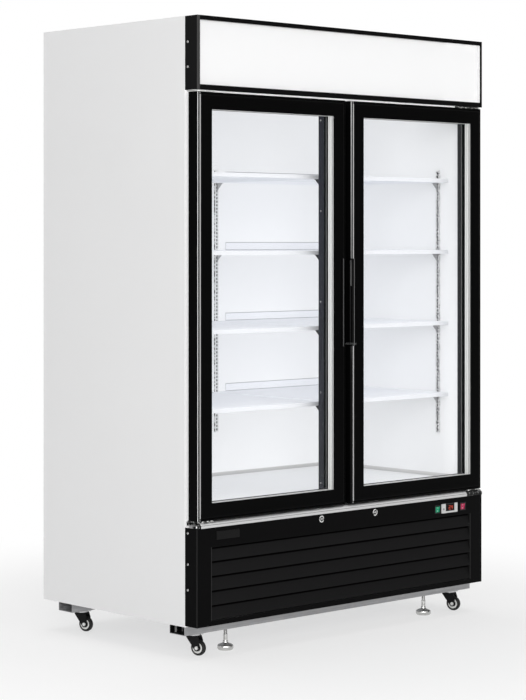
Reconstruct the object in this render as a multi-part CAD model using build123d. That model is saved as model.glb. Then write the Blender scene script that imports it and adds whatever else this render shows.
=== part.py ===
from build123d import *
import math
import os

# Upright two-door display cooler. Millimetres, +Z up, front towards -Y, +X to the right of a
# person facing the doors. The origin lies on the floor under the middle of the cabinet.

# Overall sizes
overall_width = 1370.0
overall_depth = 760.0
cover_depth = 57.0              # how far the canopy and the base cover stand before the body

# Heights, stacked from the floor up
wheel_radius = 25.0
castor_height = 72.5
rail_height = 27.5
cover_lift = 4.0
cover_height = 307.0
trim_height = 17.5
hinge_gap = 4.5
door_height = 1336.0
canopy_gap = 6.0
canopy_height = 231.0

# Sheet metal and insulated walls
sheet = 1.2
deck_thickness = 1.5
wall_thickness = 50.0
rear_wall_thickness = 67.0
floor_thickness = 55.0
roof_thickness = 55.0
header_thickness = 50.0
front_flange = 36.0
rear_flange = 20.0
opening_head_drop = 30.0        # door top down to the head of the opening
surround_return = 14.0
cove_height = 12.0
cove_thickness = 3.0

# Mullion between the two door openings
mullion_width = 80.0
mullion_depth = 45.0
mullion_edge_radius = 2.0
mullion_screw_count = 5
mullion_screw_end = 33.0        # outermost screws from the floor and from the head
mullion_screw_setback = 34.0

# Doors
door_thickness = 43.0
door_setback = 1.0              # door face behind the canopy face
door_side_inset = 4.0
door_middle_gap = 26.0
stile_width = 60.0
rail_width = 54.0
lip_thickness = 4.0
rebate_depth = 12.0
pane_thickness = 4.0
pane_air_gap = 16.0
pane_clearance = 0.2
spacer_lap = 2.5
nose_outer_bead = 5.0
nose_groove = 2.0
nose_inner_bead = 6.5
nose_step = 4.5
nose_crest = 1.8
gasket_width = 18.0
gasket_inset = 12.0
gasket_meeting_inset = 2.0
gasket_clearance = 0.2
gasket_lip = 3.0

# Door handles
handle_length = 290.0
handle_width = 24.0
handle_depth = 27.0
handle_bar_inset = 7.5
handle_bar_width = 8.0
handle_bar_depth = 5.5
handle_proud = 1.0
handle_wall = 2.0
handle_end = 4.0

# Hinges
hinge_pin_radius = 5.0
hinge_pin_length = 22.0
hinge_pin_inset = 10.0
hinge_pin_fit = 0.05
hinge_plate_length = 72.0
hinge_plate_end = 6.0           # plate beyond the pin, towards the side panel
hinge_plate_thickness = 3.5
hinge_plate_corner = 6.0
hinge_flange_height = 12.0
hinge_flange_thickness = 3.0

# Shelves and their supports
shelf_count = 4
shelf_pitch = 252.0
lowest_shelf_rise = 303.0       # compartment floor up to the lowest shelf
shelf_edge = 13.0
shelf_sheet = 1.5
shelf_lip_height = 28.0
shelf_lip_start = 76.0
shelf_middle_gap = 20.0
shelf_side_gap = 12.0
shelf_front_gap = 1.0           # behind the mullion
shelf_rear_gap = 21.0
pilaster_width = 16.0
pilaster_depth = 6.0
pilaster_sheet = 1.5
pilaster_below = 146.0          # lowest shelf down to the foot of the slotted strip
pilaster_above = 30.0
slot_pitch = 36.0
slot_height = 10.0
slot_width = 4.0
front_pilaster_offset = 101.0   # behind the body front
rear_pilaster_offset = 528.0
mullion_pilaster_offset = 20.0
back_pilaster_offset = 48.0
clip_arm = 25.0
clip_height = 29.0
clip_width = 12.0
clip_sheet = 2.0
notch_clearance = 2.0

# Canopy light box
canopy_side_border = 11.0
canopy_top_border = 14.0
canopy_bottom_border = 16.0
reveal_depth = 12.0
sign_thickness = 3.0
sign_lap = 8.0
cover_inset = 1.0               # canopy and base cover sides inside the side panels' faces
canopy_flange = 14.0            # underside turned in behind the face, open behind it
canopy_screw_drop = 4.5
canopy_screw_spread = 39.0
base_screw_spread = 40.0
base_screw_drop = 16.5          # cover top down to the uppermost side screw
cover_screw_setback = 13.0      # side screws before the body front
lamp_radius = 13.0
lamp_end_gap = 85.0             # tube end to the cabinet side
lamp_holder = 34.0

# Base cover, trim and controls
base_setback = 2.0              # base cover face behind the canopy face
louvre_margin = 63.0
louvre_top_drop = 62.0
louvre_count = 5
louvre_bottom_border = 16.0
louvre_recess = 15.0
louvre_lap = 5.0
slat_sheet = 1.8
cover_flange = 14.0
trim_depth = 52.0
trim_bevel = 9.0
trim_return = 12.0
badge_width = 100.0
badge_height = 26.0
badge_thickness = 0.8
badge_left = 84.0
badge_drop = 27.0               # cover top down to the middle of the plate
control_drop = 33.5             # cover top down to the middle of the controls
rocker_width = 31.0
rocker_height = 28.0
rocker_wall = 2.0
rocker_proud = 1.2
rocker_body_depth = 20.0
rocker_tilt = 7.0
rocker_gap = 1.0
rocker_pin_radius = 1.5
rocker_pin_depth = 4.0
rocker_crest = 4.3              # paddle ridges before the pin
rocker_back = 3.5
green_rocker_inset = 252.0      # cabinet side to the left edge of each control
red_rocker_inset = 119.0
thermostat_inset = 217.0
thermostat_width = 84.0
thermostat_height = 32.0
thermostat_proud = 1.5
thermostat_body_depth = 50.0
thermostat_side_lap = 6.0
thermostat_top_lap = 3.0
thermostat_corner = 2.0
display_left = 22.0
display_top_border = 2.0
display_sink = 0.5
display_width = 46.0
display_height = 24.0
key_radius = 3.5
key_fit = 0.2
key_depth = 4.0
key_drop = 2.0
key_travel = 0.8
lock_offset = 129.0
lock_drop = 16.0                # cover top down to the lock axis
lock_radius = 9.5
lock_face_radius = 11.0
lock_fit = 0.1
lock_proud = 1.5
keyway_width = 1.6
keyway_height = 9.0
keyway_depth = 1.2
cam_length = 46.0
cam_width = 11.0
cam_thickness = 2.5
cam_setback = 20.0
cam_slot_clearance = 2.5

# Rails, castors and levelling feet
rail_width_across = 70.0
rail_wall = 2.0
front_rail_setback = 0.0        # rail front face behind the body front
rear_rail_setback = 552.0
castor_inset = 71.0
castor_plate = 50.0
castor_plate_thickness = 3.0
castor_bolt_offset = 18.0
castor_bolt_radius = 5.5
castor_bolt_height = 3.5
castor_race_radius = 20.0
castor_race_height = 5.5
castor_trail = 17.0
castor_heading = 17.0
wheel_width = 18.0
hub_radius = 19.5
hub_width = 16.0
fork_gap = 1.6
fork_cheek = 2.4
fork_crown_radius = 23.0
fork_crown_thickness = 3.0
fork_eye_radius = 10.0
axle_radius = 4.0
axle_fit = 0.05
axle_head_radius = 5.5
axle_head_height = 2.5
swivel_gap = 0.3
foot_inset = 208.0
foot_radius = 26.0
foot_stem_radius = 6.0
foot_stem_fit = 0.1
foot_collar_radius = 8.5
foot_deck_clearance = 3.0
foot_edge = 3.5                 # underside rim inside the pad
foot_rim_low = 5.0
foot_rim_high = 13.0
foot_dome_low = 17.0
foot_dome_high = 21.0
foot_collar_low = 23.0
foot_collar_high = 28.0
foot_stem_low = 30.0
foot_stem_spare = 12.0          # stem above its nut
foot_nut_radius = 11.0
foot_nut_height = 9.0

# Refrigeration
evaporator_side_gap = 35.0      # side wall to the evaporator cover
evaporator_cover_depth = 480.0
evaporator_cover_height = 173.0
evaporator_fan_radius = 95.0
evaporator_fan_inset = 320.0    # cover side to the fan axis
evaporator_fan_front = 116.0    # cover front to the fan axis
coil_end_gap = 100.0            # cover side to the coil
coil_wall_gap = 20.0
coil_depth = 250.0
coil_height = 100.0
coil_groove_pitch = 25.0        # grooves stand for the gaps of the fin pack
coil_groove_width = 6.0
coil_groove_depth = 8.0
discharge_slot_pitch = 125.0
discharge_slot_width = 90.0
discharge_slot_height = 14.0
discharge_slot_rise = 90.0
fan_orifice_gap = 6.0
fan_hub_radius = 22.0
fan_hub_height = 20.0
fan_shaft_radius = 4.0
fan_shaft_fit = 0.05
fan_blades = 5
fan_blade_thickness = 1.6
fan_blade_pitch = 26.0
fan_floor_gap = 2.0             # evaporator fan above its tray
motor_radius = 30.0
motor_length = 40.0
motor_gap = 10.0                # fan hub to its motor
motor_bracket = 15.0
bracket_thickness = 3.0
condenser_width = 430.0
condenser_depth = 60.0
condenser_height = 250.0
condenser_foot_gap = 32.0       # condenser to the axis of the right-hand levelling foot
condenser_setback = 22.0
condenser_fan_gap = 14.0
condenser_fan_radius = 108.0
compressor_radius = 78.0
compressor_height = 190.0
compressor_shoulder = 26.0
compressor_left = 385.0         # cabinet side to the compressor axis
compressor_rear = 260.0         # cabinet rear to the compressor axis
compressor_plate_width = 210.0
compressor_plate_depth = 130.0
compressor_mount_inset = 15.0
compressor_mount_radius = 12.0
compressor_mount_height = 14.0
terminal_low = 60.0
terminal_high = 130.0
terminal_width = 60.0
terminal_depth = 24.0
grille_slot_count = 16
grille_slot_width = 9.0
grille_slot_height = 90.0
grille_slot_pitch = 34.0
grille_row_gap = 24.0
gland_inset = 90.0
gland_rise = 60.0
gland_radius = 11.0
gland_bore = 4.5
gland_length = 14.0
screw_radius = 4.0
screw_height = 1.0

# Levels and planes worked out from the sizes above
half_width = overall_width / 2
front_face = -overall_depth / 2
rear_face = overall_depth / 2
body_front = front_face + cover_depth
deck_level = castor_height + rail_height
cover_bottom = deck_level + cover_lift
cover_top = cover_bottom + cover_height
trim_top = cover_top + trim_height
door_bottom = trim_top + hinge_gap
door_top = door_bottom + door_height
canopy_bottom = door_top + canopy_gap
overall_height = canopy_bottom + canopy_height
body_underside = cover_top - 1.0
floor_level = body_underside + floor_thickness
opening_head = door_top - opening_head_drop
ceiling_level = overall_height - roof_thickness
inner_half = half_width - wall_thickness
back_wall = rear_face - rear_wall_thickness
door_front = front_face + door_setback
door_rear = door_front + door_thickness
mullion_rear = body_front + mullion_depth
skin_inner = half_width - sheet
foam_inner = inner_half + sheet
surround_outer = half_width - front_flange
header_rear = body_front + header_thickness
cover_face = front_face + base_setback
trim_face = front_face
cover_half = half_width - cover_inset
control_level = cover_top - control_drop
lock_level = cover_top - lock_drop
green_rocker_left = half_width - green_rocker_inset
red_rocker_left = half_width - red_rocker_inset
thermostat_left = half_width - thermostat_inset
lowest_shelf_top = floor_level + lowest_shelf_rise
shelf_tops = [lowest_shelf_top + shelf_pitch * level for level in range(shelf_count)]
pilaster_bottom = lowest_shelf_top - pilaster_below
pilaster_top = shelf_tops[-1] + pilaster_above
front_pilaster_y = body_front + front_pilaster_offset
rear_pilaster_y = body_front + rear_pilaster_offset
castor_x = half_width - castor_inset
front_rail_y = body_front + front_rail_setback + rail_width_across / 2
rear_rail_y = body_front + rear_rail_setback + rail_width_across / 2
foot_x = half_width - foot_inset
condenser_right = foot_x - condenser_foot_gap
condenser_x = condenser_right - condenser_width / 2
evaporator_half = inner_half - evaporator_side_gap
evaporator_fan_x = evaporator_half - evaporator_fan_inset
hinge_pin_x = half_width - door_side_inset - hinge_pin_inset
hinge_pin_y = (door_front + door_rear) / 2
handle_middle = (door_bottom + door_top) / 2


def block(low, high):
    """A rectangular block between two opposite corners."""
    size = [far - near for near, far in zip(low, high)]
    middle = [(near + far) / 2 for near, far in zip(low, high)]
    return Pos(*middle) * Box(*size)


def rod(radius, start, end):
    """A round bar between two points."""
    run = Vector(*end) - Vector(*start)
    seat = Plane(origin=start, z_dir=run)
    return extrude(seat * Circle(radius), run.length, dir=run.normalized())


def prism(plane, points, length):
    """A straight extrusion of a closed outline drawn on a plane."""
    outline = make_face(Polyline(*points, close=True))
    return extrude(plane * outline, length, dir=plane.z_dir)


def both_sides(piece):
    """A piece and its mirror image on the other side of the cabinet."""
    return [piece, mirror(piece, about=Plane.YZ)]


def save(name, *pieces):
    """Write one sub-part with all its solids."""
    solids = [solid for piece in pieces for solid in piece.solids()]
    export_step(Compound(solids), os.path.join("parts", name + ".step"))


# Cabinet shell

def side_panel():
    """Right side: one sheet folded round the front and the rear edge of the wall."""
    inner = half_width - sheet
    points = [
        (half_width, body_front),
        (half_width, rear_face),
        (half_width - rear_flange, rear_face),
        (half_width - rear_flange, rear_face - sheet),
        (inner, rear_face - sheet),
        (inner, body_front + sheet),
        (half_width - front_flange, body_front + sheet),
        (half_width - front_flange, body_front),
    ]
    foot = Plane.XY.offset(deck_level)
    return prism(foot, points, overall_height - deck_level)


def back_panel():
    reach = half_width - rear_flange
    return block((-reach, rear_face - sheet, body_underside), (reach, rear_face, overall_height))


def outer_skins():
    """Roof, header, sill and underside sheets of the insulated box."""
    rear = rear_face - sheet
    front = body_front + sheet
    roof_base = overall_height - sheet
    roof = block((-skin_inner, front, roof_base), (skin_inner, rear, overall_height))
    head_start = opening_head + surround_return
    header = block((-surround_outer, body_front, head_start), (surround_outer, front, overall_height))
    sill_top = floor_level - surround_return
    sill = block((-surround_outer, body_front, body_underside), (surround_outer, front, sill_top))
    under_top = body_underside + sheet
    underside = block((-skin_inner, front, body_underside), (skin_inner, rear, under_top))
    return [roof, header, sill, underside]


def insulation():
    """Foam slabs between the outer skins and the liner."""
    front = body_front + sheet
    rear = rear_face - sheet
    low = body_underside + sheet
    high = overall_height - sheet
    side = block((foam_inner, front, low), (skin_inner, rear, high))
    back = block((-foam_inner, back_wall + sheet, low), (foam_inner, rear, high))
    roof = block((-foam_inner, front, ceiling_level + sheet), (foam_inner, back_wall + sheet, high))
    floor = block((-foam_inner, front, low), (foam_inner, back_wall + sheet, floor_level - sheet))
    head_low = opening_head + sheet
    head_high = ceiling_level + sheet
    head = block((-inner_half, front, head_low), (inner_half, header_rear - sheet, head_high))
    return both_sides(side) + [back, roof, floor, head]


def liner():
    """White inner walls, floor, ceiling and the cove strips round the floor."""
    front = body_front + surround_return
    rear = back_wall + sheet
    low = floor_level - sheet
    high = ceiling_level + sheet
    wall = block((inner_half, front, low), (foam_inner, rear, high))
    back = block((-inner_half, back_wall, low), (inner_half, rear, high))
    floor = block((-inner_half, front, low), (inner_half, back_wall, floor_level))
    ceiling = block((-inner_half, header_rear, ceiling_level), (inner_half, back_wall, high))
    head_face = (-inner_half, header_rear - sheet, opening_head + sheet)
    head = block(head_face, (inner_half, header_rear, high))
    soffit = block((-inner_half, front, opening_head), (inner_half, header_rear, opening_head + sheet))
    cove_top = floor_level + cove_height
    cove_edge = inner_half - cove_thickness
    cove_rear = back_wall - cove_thickness
    side_cove = block((cove_edge, front, floor_level), (inner_half, back_wall, cove_top))
    back_cove = block((-cove_edge, cove_rear, floor_level), (cove_edge, back_wall, cove_top))
    panels = both_sides(wall) + [back, floor, ceiling, head, soffit]
    return panels + both_sides(side_cove) + [back_cove]


def door_surround():
    """Black breaker strips that close the wall edge round the opening."""
    face = body_front + sheet
    rear = body_front + surround_return
    low = floor_level - surround_return
    high = opening_head + surround_return
    jamb = block((inner_half, body_front, low), (surround_outer, face, high))
    jamb = jamb + block((inner_half, body_front, floor_level), (foam_inner, rear, opening_head))
    head = block((-inner_half, body_front, opening_head), (inner_half, face, high))
    head = head + block((-inner_half, body_front, opening_head), (inner_half, rear, opening_head + sheet))
    sill = block((-inner_half, body_front, low), (inner_half, face, floor_level))
    sill = sill + block((-inner_half, body_front, floor_level - sheet), (inner_half, rear, floor_level))
    return both_sides(jamb) + [head, sill]


def mullion():
    """Upright between the doors, with rounded corners and a shallow strike groove."""
    half = mullion_width / 2
    post = block((-half, body_front, floor_level), (half, mullion_rear, opening_head))
    corners = post.edges().filter_by(Axis.Z)
    post = fillet(corners, mullion_edge_radius)
    groove_low = floor_level - 1
    groove_high = opening_head + 1
    groove = block((-3, body_front - 1, groove_low), (3, body_front + 1, groove_high))
    return post - groove


# Shelves and their supports

def slotted_strip():
    """One pilaster: a channel with its back on the plane y = 0, facing -Y, foot at z = 0."""
    half = pilaster_width / 2
    wall = pilaster_sheet
    length = pilaster_top - pilaster_bottom
    points = [
        (-half, 0),
        (-half, -pilaster_depth),
        (half, -pilaster_depth),
        (half, 0),
        (half - wall, 0),
        (half - wall, wall - pilaster_depth),
        (wall - half, wall - pilaster_depth),
        (wall - half, 0),
    ]
    strip = prism(Plane.XY, points, length)
    count = int((length - slot_height) // slot_pitch)
    first = (length - (count - 1) * slot_pitch) / 2
    web_middle = wall / 2 - pilaster_depth
    heights = [first + slot_pitch * index for index in range(count)]
    slots = [Pos(0, web_middle, z) * Box(slot_width, 2 * wall, slot_height) for z in heights]
    return strip - slots


def side_seats():
    """Where the strips on the side walls stand: x, y and their turn from facing -Y."""
    return [
        (inner_half, front_pilaster_y, -90),
        (inner_half, rear_pilaster_y, -90),
        (-inner_half, front_pilaster_y, 90),
        (-inner_half, rear_pilaster_y, 90),
    ]


def middle_seats():
    """Where the strips on the rear wall and behind the mullion stand."""
    seats = []
    for sign in (-1, 1):
        seats.append((sign * back_pilaster_offset, back_wall, 0))
        seats.append((sign * mullion_pilaster_offset, mullion_rear, 180))
    return seats


def pilasters():
    strip = slotted_strip()
    seats = side_seats() + middle_seats()
    return [Pos(x, y, pilaster_bottom) * Rot(0, 0, turn) * strip for x, y, turn in seats]


def shelf_clip():
    """A folded clip on a strip that faces -Y: a ledge with a triangular gusset under it."""
    half = clip_width / 2
    root = -pilaster_depth
    tip = root - clip_arm
    ledge = block((-half, tip, -clip_sheet), (half, root, 0))
    profile = [(root, -clip_sheet), (tip, -clip_sheet), (tip, -2 * clip_sheet), (root, -clip_height)]
    gusset_plane = Plane(origin=(-clip_sheet / 2, 0, 0), x_dir=(0, 1, 0), z_dir=(1, 0, 0))
    gusset = prism(gusset_plane, profile, clip_sheet)
    return ledge + gusset


def shelf_clips():
    clip = shelf_clip()
    ledge_levels = [top - shelf_edge for top in shelf_tops]
    return [
        Pos(x, y, level) * Rot(0, 0, turn) * clip
        for level in ledge_levels
        for x, y, turn in side_seats() + middle_seats()
    ]


def shelf(top):
    """Right-hand shelf: a folded tray with turned-down edges and an upturned rear lip."""
    inner = shelf_middle_gap / 2
    outer = inner_half - shelf_side_gap
    front = mullion_rear + shelf_front_gap
    rear = back_wall - shelf_rear_gap
    notch_x = mullion_width / 2 + notch_clearance
    notch_y = mullion_rear + pilaster_depth + notch_clearance
    outline = [
        (notch_x, front),
        (outer, front),
        (outer, rear),
        (inner, rear),
        (inner, notch_y),
        (notch_x, notch_y),
    ]
    wall = shelf_sheet
    hollow_outline = [
        (notch_x + wall, front + wall),
        (outer - wall, front + wall),
        (outer - wall, rear - wall),
        (inner + wall, rear - wall),
        (inner + wall, notch_y + wall),
        (notch_x + wall, notch_y + wall),
    ]
    underside = Plane.XY.offset(top - shelf_edge)
    tray = prism(underside, outline, shelf_edge)
    tray = tray - prism(underside, hollow_outline, shelf_edge - wall)
    lip = block((shelf_lip_start, rear - wall, top), (outer, rear, top + shelf_lip_height))
    return tray + lip


# Canopy light box

def canopy_housing():
    """Folded black box with a window and a returned reveal, open at the rear and below."""
    bottom = canopy_bottom
    top = overall_height
    rear = body_front
    box = block((-cover_half, front_face, bottom), (cover_half, rear, top))
    hollow_low = (sheet - cover_half, front_face + sheet, bottom + sheet)
    hollow = block(hollow_low, (cover_half - sheet, rear, top - sheet))
    window_x = cover_half - canopy_side_border
    window_low = bottom + canopy_bottom_border
    window_high = top - canopy_top_border
    window_end = front_face + reveal_depth
    window = block((-window_x, front_face, window_low), (window_x, window_end, window_high))
    reveal_x = window_x + sheet
    reveal_low = (-reveal_x, front_face, window_low - sheet)
    reveal = block(reveal_low, (reveal_x, window_end, window_high + sheet))
    relief_x = cover_half - sheet
    relief = block((-relief_x, front_face + canopy_flange, bottom), (relief_x, rear, bottom + sheet))
    folded = box - hollow + reveal - window - relief
    return fillet(corner_edges(folded, cover_half, front_face), 1.0)


def corner_edges(folded, reach, face):
    """The two upright front corners of a folded cover."""
    upright = folded.edges().filter_by(Axis.Z)
    outer = upright.filter_by(lambda edge: abs(abs(edge.center().X) - reach) < 0.01)
    return outer.filter_by(lambda edge: abs(edge.center().Y - face) < 0.01)


def sign_panel():
    """Opal acrylic sheet held behind the reveal, with no print on it."""
    reach = cover_half - canopy_side_border + sign_lap
    low = canopy_bottom + canopy_bottom_border - sign_lap
    high = overall_height - canopy_top_border + sign_lap
    front = front_face + reveal_depth
    return block((-reach, front, low), (reach, front + sign_thickness, high))


def canopy_lamp():
    """A straight tube between two holders that stand on the header."""
    z = canopy_bottom + canopy_height / 2
    y = body_front - lamp_holder / 2
    half = half_width - lamp_end_gap
    tube = rod(lamp_radius, (-half, y, z), (half, y, z))
    low = (half, body_front - lamp_holder, z - lamp_holder / 2)
    holder = block(low, (half + lamp_radius, body_front, z + lamp_holder / 2))
    return [tube] + both_sides(holder)


# Base cover, trim and controls

def slat_section(slat_top, slat_bottom):
    """A louvre slat that leans forward from its recessed top to the cover face."""
    back = cover_face + louvre_recess
    lower_back = cover_face + slat_sheet
    return [
        (back - slat_sheet, slat_top),
        (cover_face, slat_bottom + slat_sheet),
        (cover_face, slat_bottom),
        (lower_back, slat_bottom),
        (back, slat_top),
    ]


def base_cover():
    """Louvred front of the machine compartment, with openings for the controls and locks."""
    rear = body_front
    shell = block((-cover_half, cover_face, cover_bottom), (cover_half, rear, cover_top))
    inner_low = (sheet - cover_half, cover_face + sheet, cover_bottom + sheet)
    shell = shell - block(inner_low, (cover_half - sheet, rear, cover_top - sheet))
    flange_rear = cover_face + cover_flange
    open_half = cover_half - 2 * sheet
    for low, high in ((cover_bottom, cover_bottom + sheet), (cover_top - sheet, cover_top)):
        shell = shell - block((-open_half, flange_rear, low), (open_half, rear, high))
    field_x = cover_half - louvre_margin
    field_low = cover_bottom + louvre_bottom_border
    field_high = cover_top - louvre_top_drop
    field_rear = cover_face + louvre_recess
    field = block((-field_x, cover_face, field_low), (field_x, field_rear, field_high))
    ring_x = field_x + sheet
    ring_low = (-ring_x, cover_face, field_low - sheet)
    ring = block(ring_low, (ring_x, field_rear, field_high + sheet))
    shell = shell + ring - field
    slat_pitch = (field_high - field_low) / louvre_count
    slats = []
    for index in range(louvre_count):
        slat_bottom = field_low + slat_pitch * index + louvre_lap / 2
        slat_top = min(slat_bottom + slat_pitch, field_high)
        seat = Plane(origin=(-field_x, 0, 0), x_dir=(0, 1, 0), z_dir=(1, 0, 0))
        slats.append(prism(seat, slat_section(slat_top, slat_bottom), 2 * field_x))
    shell = shell + slats
    shell = shell - control_openings()
    return fillet(corner_edges(shell, cover_half, cover_face), 1.0)


def control_openings():
    """Cut-outs in the cover for the switches, the thermostat and the lock barrels."""
    cuts = []
    depth = 2 * sheet
    middle_y = cover_face
    for left in (green_rocker_left, red_rocker_left):
        width = rocker_width - 2 * rocker_wall
        height = rocker_height - 2 * rocker_wall
        place = Pos(left + rocker_width / 2, middle_y, control_level)
        cuts.append(place * Box(width, 2 * depth, height))
    body_width = thermostat_width - 2 * thermostat_side_lap
    body_height = thermostat_height - 2 * thermostat_top_lap
    place = Pos(thermostat_left + thermostat_width / 2, middle_y, control_level)
    cuts.append(place * Box(body_width, 2 * depth, body_height))
    for side in (-1, 1):
        start = (side * lock_offset, middle_y - depth, lock_level)
        end = (side * lock_offset, middle_y + depth, lock_level)
        cuts.append(rod(lock_radius + lock_fit, start, end))
    return cuts


def cam_slots(low, high):
    """Slots that the lock cams swing up through, between two heights."""
    reach = math.sqrt(cam_length ** 2 - (low - lock_level) ** 2)
    near_y = cover_face + cam_setback - cam_slot_clearance
    far_y = cover_face + cam_setback + cam_thickness + cam_slot_clearance
    inside = cam_width / 2 + cam_slot_clearance
    outside = reach + cam_slot_clearance
    slots = []
    for side in (-1, 1):
        ends = sorted((side * (lock_offset - inside), side * (lock_offset + outside)))
        slots.append(block((ends[0], near_y, low), (ends[1], far_y, high)))
    return slots


def base_trim():
    """Bright bevelled strip along the top of the base cover, with slots for the cams."""
    rear = trim_face + trim_depth
    face_top = cover_top + trim_height / 2
    points = [
        (trim_face, cover_top),
        (trim_face, face_top),
        (trim_face + trim_bevel, trim_top),
        (rear, trim_top),
        (rear, trim_top - sheet),
        (trim_face + trim_bevel + sheet / 2, trim_top - sheet),
        (trim_face + sheet, face_top - sheet / 2),
        (trim_face + sheet, cover_top + sheet),
        (trim_face + trim_return, cover_top + sheet),
        (trim_face + trim_return, cover_top),
    ]
    seat = Plane(origin=(-cover_half, 0, 0), x_dir=(0, 1, 0), z_dir=(1, 0, 0))
    strip = prism(seat, points, 2 * cover_half)
    return strip - cam_slots(trim_top - 2 * sheet, trim_top + sheet)


def badge_plate():
    """A bare plate at the upper left of the cover."""
    left = badge_left - half_width
    middle = cover_top - badge_drop
    low = (left, cover_face - badge_thickness, middle - badge_height / 2)
    high = (left + badge_width, cover_face, middle + badge_height / 2)
    plate = block(low, high)
    return fillet(plate.edges().filter_by(Axis.Y), 2.0)


def cover_screws():
    """Pan heads in the sides of the canopy, the base cover and the mullion."""
    heads = []
    side_y = body_front - cover_screw_setback
    canopy_mid = canopy_bottom + canopy_height / 2 - canopy_screw_drop
    base_mid = cover_bottom + cover_height / 2
    heights = [canopy_mid - canopy_screw_spread, canopy_mid + canopy_screw_spread]
    heights += [base_mid - base_screw_spread, base_mid + base_screw_spread, cover_top - base_screw_drop]
    for z in heights:
        start = (cover_half, side_y, z)
        end = (cover_half + screw_height, side_y, z)
        heads.extend(both_sides(rod(screw_radius, start, end)))
    mullion_side = mullion_width / 2
    lowest = floor_level + mullion_screw_end
    pitch = (opening_head - mullion_screw_end - lowest) / (mullion_screw_count - 1)
    for index in range(mullion_screw_count):
        z = lowest + pitch * index
        start = (mullion_side, body_front + mullion_screw_setback, z)
        end = (mullion_side + screw_height, body_front + mullion_screw_setback, z)
        heads.extend(both_sides(rod(screw_radius * 0.75, start, end)))
    return heads


def rocker_frame(left):
    """Square bezel and open well of one rocker switch."""
    face = cover_face - rocker_proud
    mid_x = left + rocker_width / 2
    bezel_place = Pos(mid_x, face + rocker_proud / 2, control_level)
    bezel = bezel_place * Box(rocker_width, rocker_proud, rocker_height)
    body_width = rocker_width - 2 * rocker_wall
    body_height = rocker_height - 2 * rocker_wall
    body_mid = cover_face + rocker_body_depth / 2
    body = Pos(mid_x, body_mid, control_level) * Box(body_width, rocker_body_depth, body_height)
    well_depth = rocker_proud + rocker_body_depth - rocker_wall
    well_mid = face + well_depth / 2
    well_width = body_width - 2 * rocker_wall
    well_height = body_height - rocker_wall
    well = Pos(mid_x, well_mid, control_level) * Box(well_width, well_depth, well_height)
    pin_y = rocker_pin_y()
    reach = body_width / 2
    start = (mid_x - reach, pin_y, control_level)
    pin_hole = rod(rocker_pin_radius + axle_fit, start, (mid_x + reach, pin_y, control_level))
    return bezel + body - well - pin_hole


def rocker_pin_y():
    return cover_face + rocker_pin_depth


def rocker(left):
    """Rocker paddle with a shallow V face, resting tipped to one side on its pin."""
    mid_x = left + rocker_width / 2
    width = rocker_width - 4 * rocker_wall - 0.6
    half = (rocker_height - 3 * rocker_wall) / 2 - rocker_gap
    dip = half * math.tan(math.radians(rocker_tilt))
    face = -rocker_crest
    back = rocker_back
    points = [(face, half), (face + dip, 0), (face, -half), (back, -half * 0.6), (back, half * 0.6)]
    seat = Plane(origin=(-width / 2, 0, 0), x_dir=(0, 1, 0), z_dir=(1, 0, 0))
    paddle = prism(seat, points, width)
    pin_reach = width / 2 + rocker_wall
    pin = rod(rocker_pin_radius, (-pin_reach, 0, 0), (pin_reach, 0, 0))
    return Pos(mid_x, rocker_pin_y(), control_level) * Rot(rocker_tilt, 0, 0) * (paddle + pin)


def thermostat_case():
    """White bezel with a recessed window, a key hole and the case behind the cover."""
    face = cover_face - thermostat_proud
    mid_x = thermostat_left + thermostat_width / 2
    half_height = thermostat_height / 2
    low = (thermostat_left, face, control_level - half_height)
    high = (thermostat_left + thermostat_width, cover_face, control_level + half_height)
    bezel = block(low, high)
    bezel = fillet(bezel.edges().filter_by(Axis.Y), thermostat_corner)
    body_width = thermostat_width - 2 * (thermostat_side_lap + axle_fit)
    body_height = thermostat_height - 2 * (thermostat_top_lap + axle_fit)
    body_mid = cover_face + thermostat_body_depth / 2
    body = Pos(mid_x, body_mid, control_level) * Box(body_width, thermostat_body_depth, body_height)
    window_low = (thermostat_left + display_left, face, display_bottom())
    window_right = thermostat_left + display_left + display_width
    window_high = (window_right, cover_face, display_bottom() + display_height)
    key_x, key_z = key_place()
    key_hole = rod(key_radius + key_fit, (key_x, face, key_z), (key_x, face + key_depth, key_z))
    return bezel + body - block(window_low, window_high) - key_hole


def display_bottom():
    return control_level + thermostat_height / 2 - display_top_border - display_height


def key_place():
    return thermostat_left + display_left / 2, control_level - key_drop


def thermostat_display():
    """Dark window of the thermostat, lying just under the bezel."""
    face = cover_face - thermostat_proud + display_sink
    left = thermostat_left + display_left
    high = (left + display_width, cover_face, display_bottom() + display_height)
    return block((left, face, display_bottom()), high)


def thermostat_key():
    key_x, key_z = key_place()
    front = cover_face - thermostat_proud - key_travel
    end = front + key_depth - key_fit
    return rod(key_radius, (key_x, front, key_z), (key_x, end, key_z))


def lock_barrel(side):
    """Lock barrel with its face ring and keyway, and the cam behind, level when unlocked."""
    x = side * lock_offset
    z = lock_level
    face = cover_face - lock_proud
    ring_rear = cover_face - lock_fit
    cam_near = cover_face + cam_setback
    cam_far = cam_near + cam_thickness
    ring = rod(lock_face_radius, (x, face, z), (x, ring_rear, z))
    barrel = rod(lock_radius, (x, ring_rear, z), (x, cam_near, z))
    keyway = Pos(x, face, z) * Box(keyway_width, 2 * keyway_depth, keyway_height)
    straight = side * (cam_length - cam_width / 2)
    root = rod(cam_width / 2, (x, cam_near, z), (x, cam_far, z))
    tip = rod(cam_width / 2, (x + straight, cam_near, z), (x + straight, cam_far, z))
    bar_place = Pos(x + straight / 2, (cam_near + cam_far) / 2, z)
    bar = bar_place * Box(abs(straight), cam_thickness, cam_width)
    return [ring + barrel - keyway, root + bar + tip]


# Machine compartment

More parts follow.
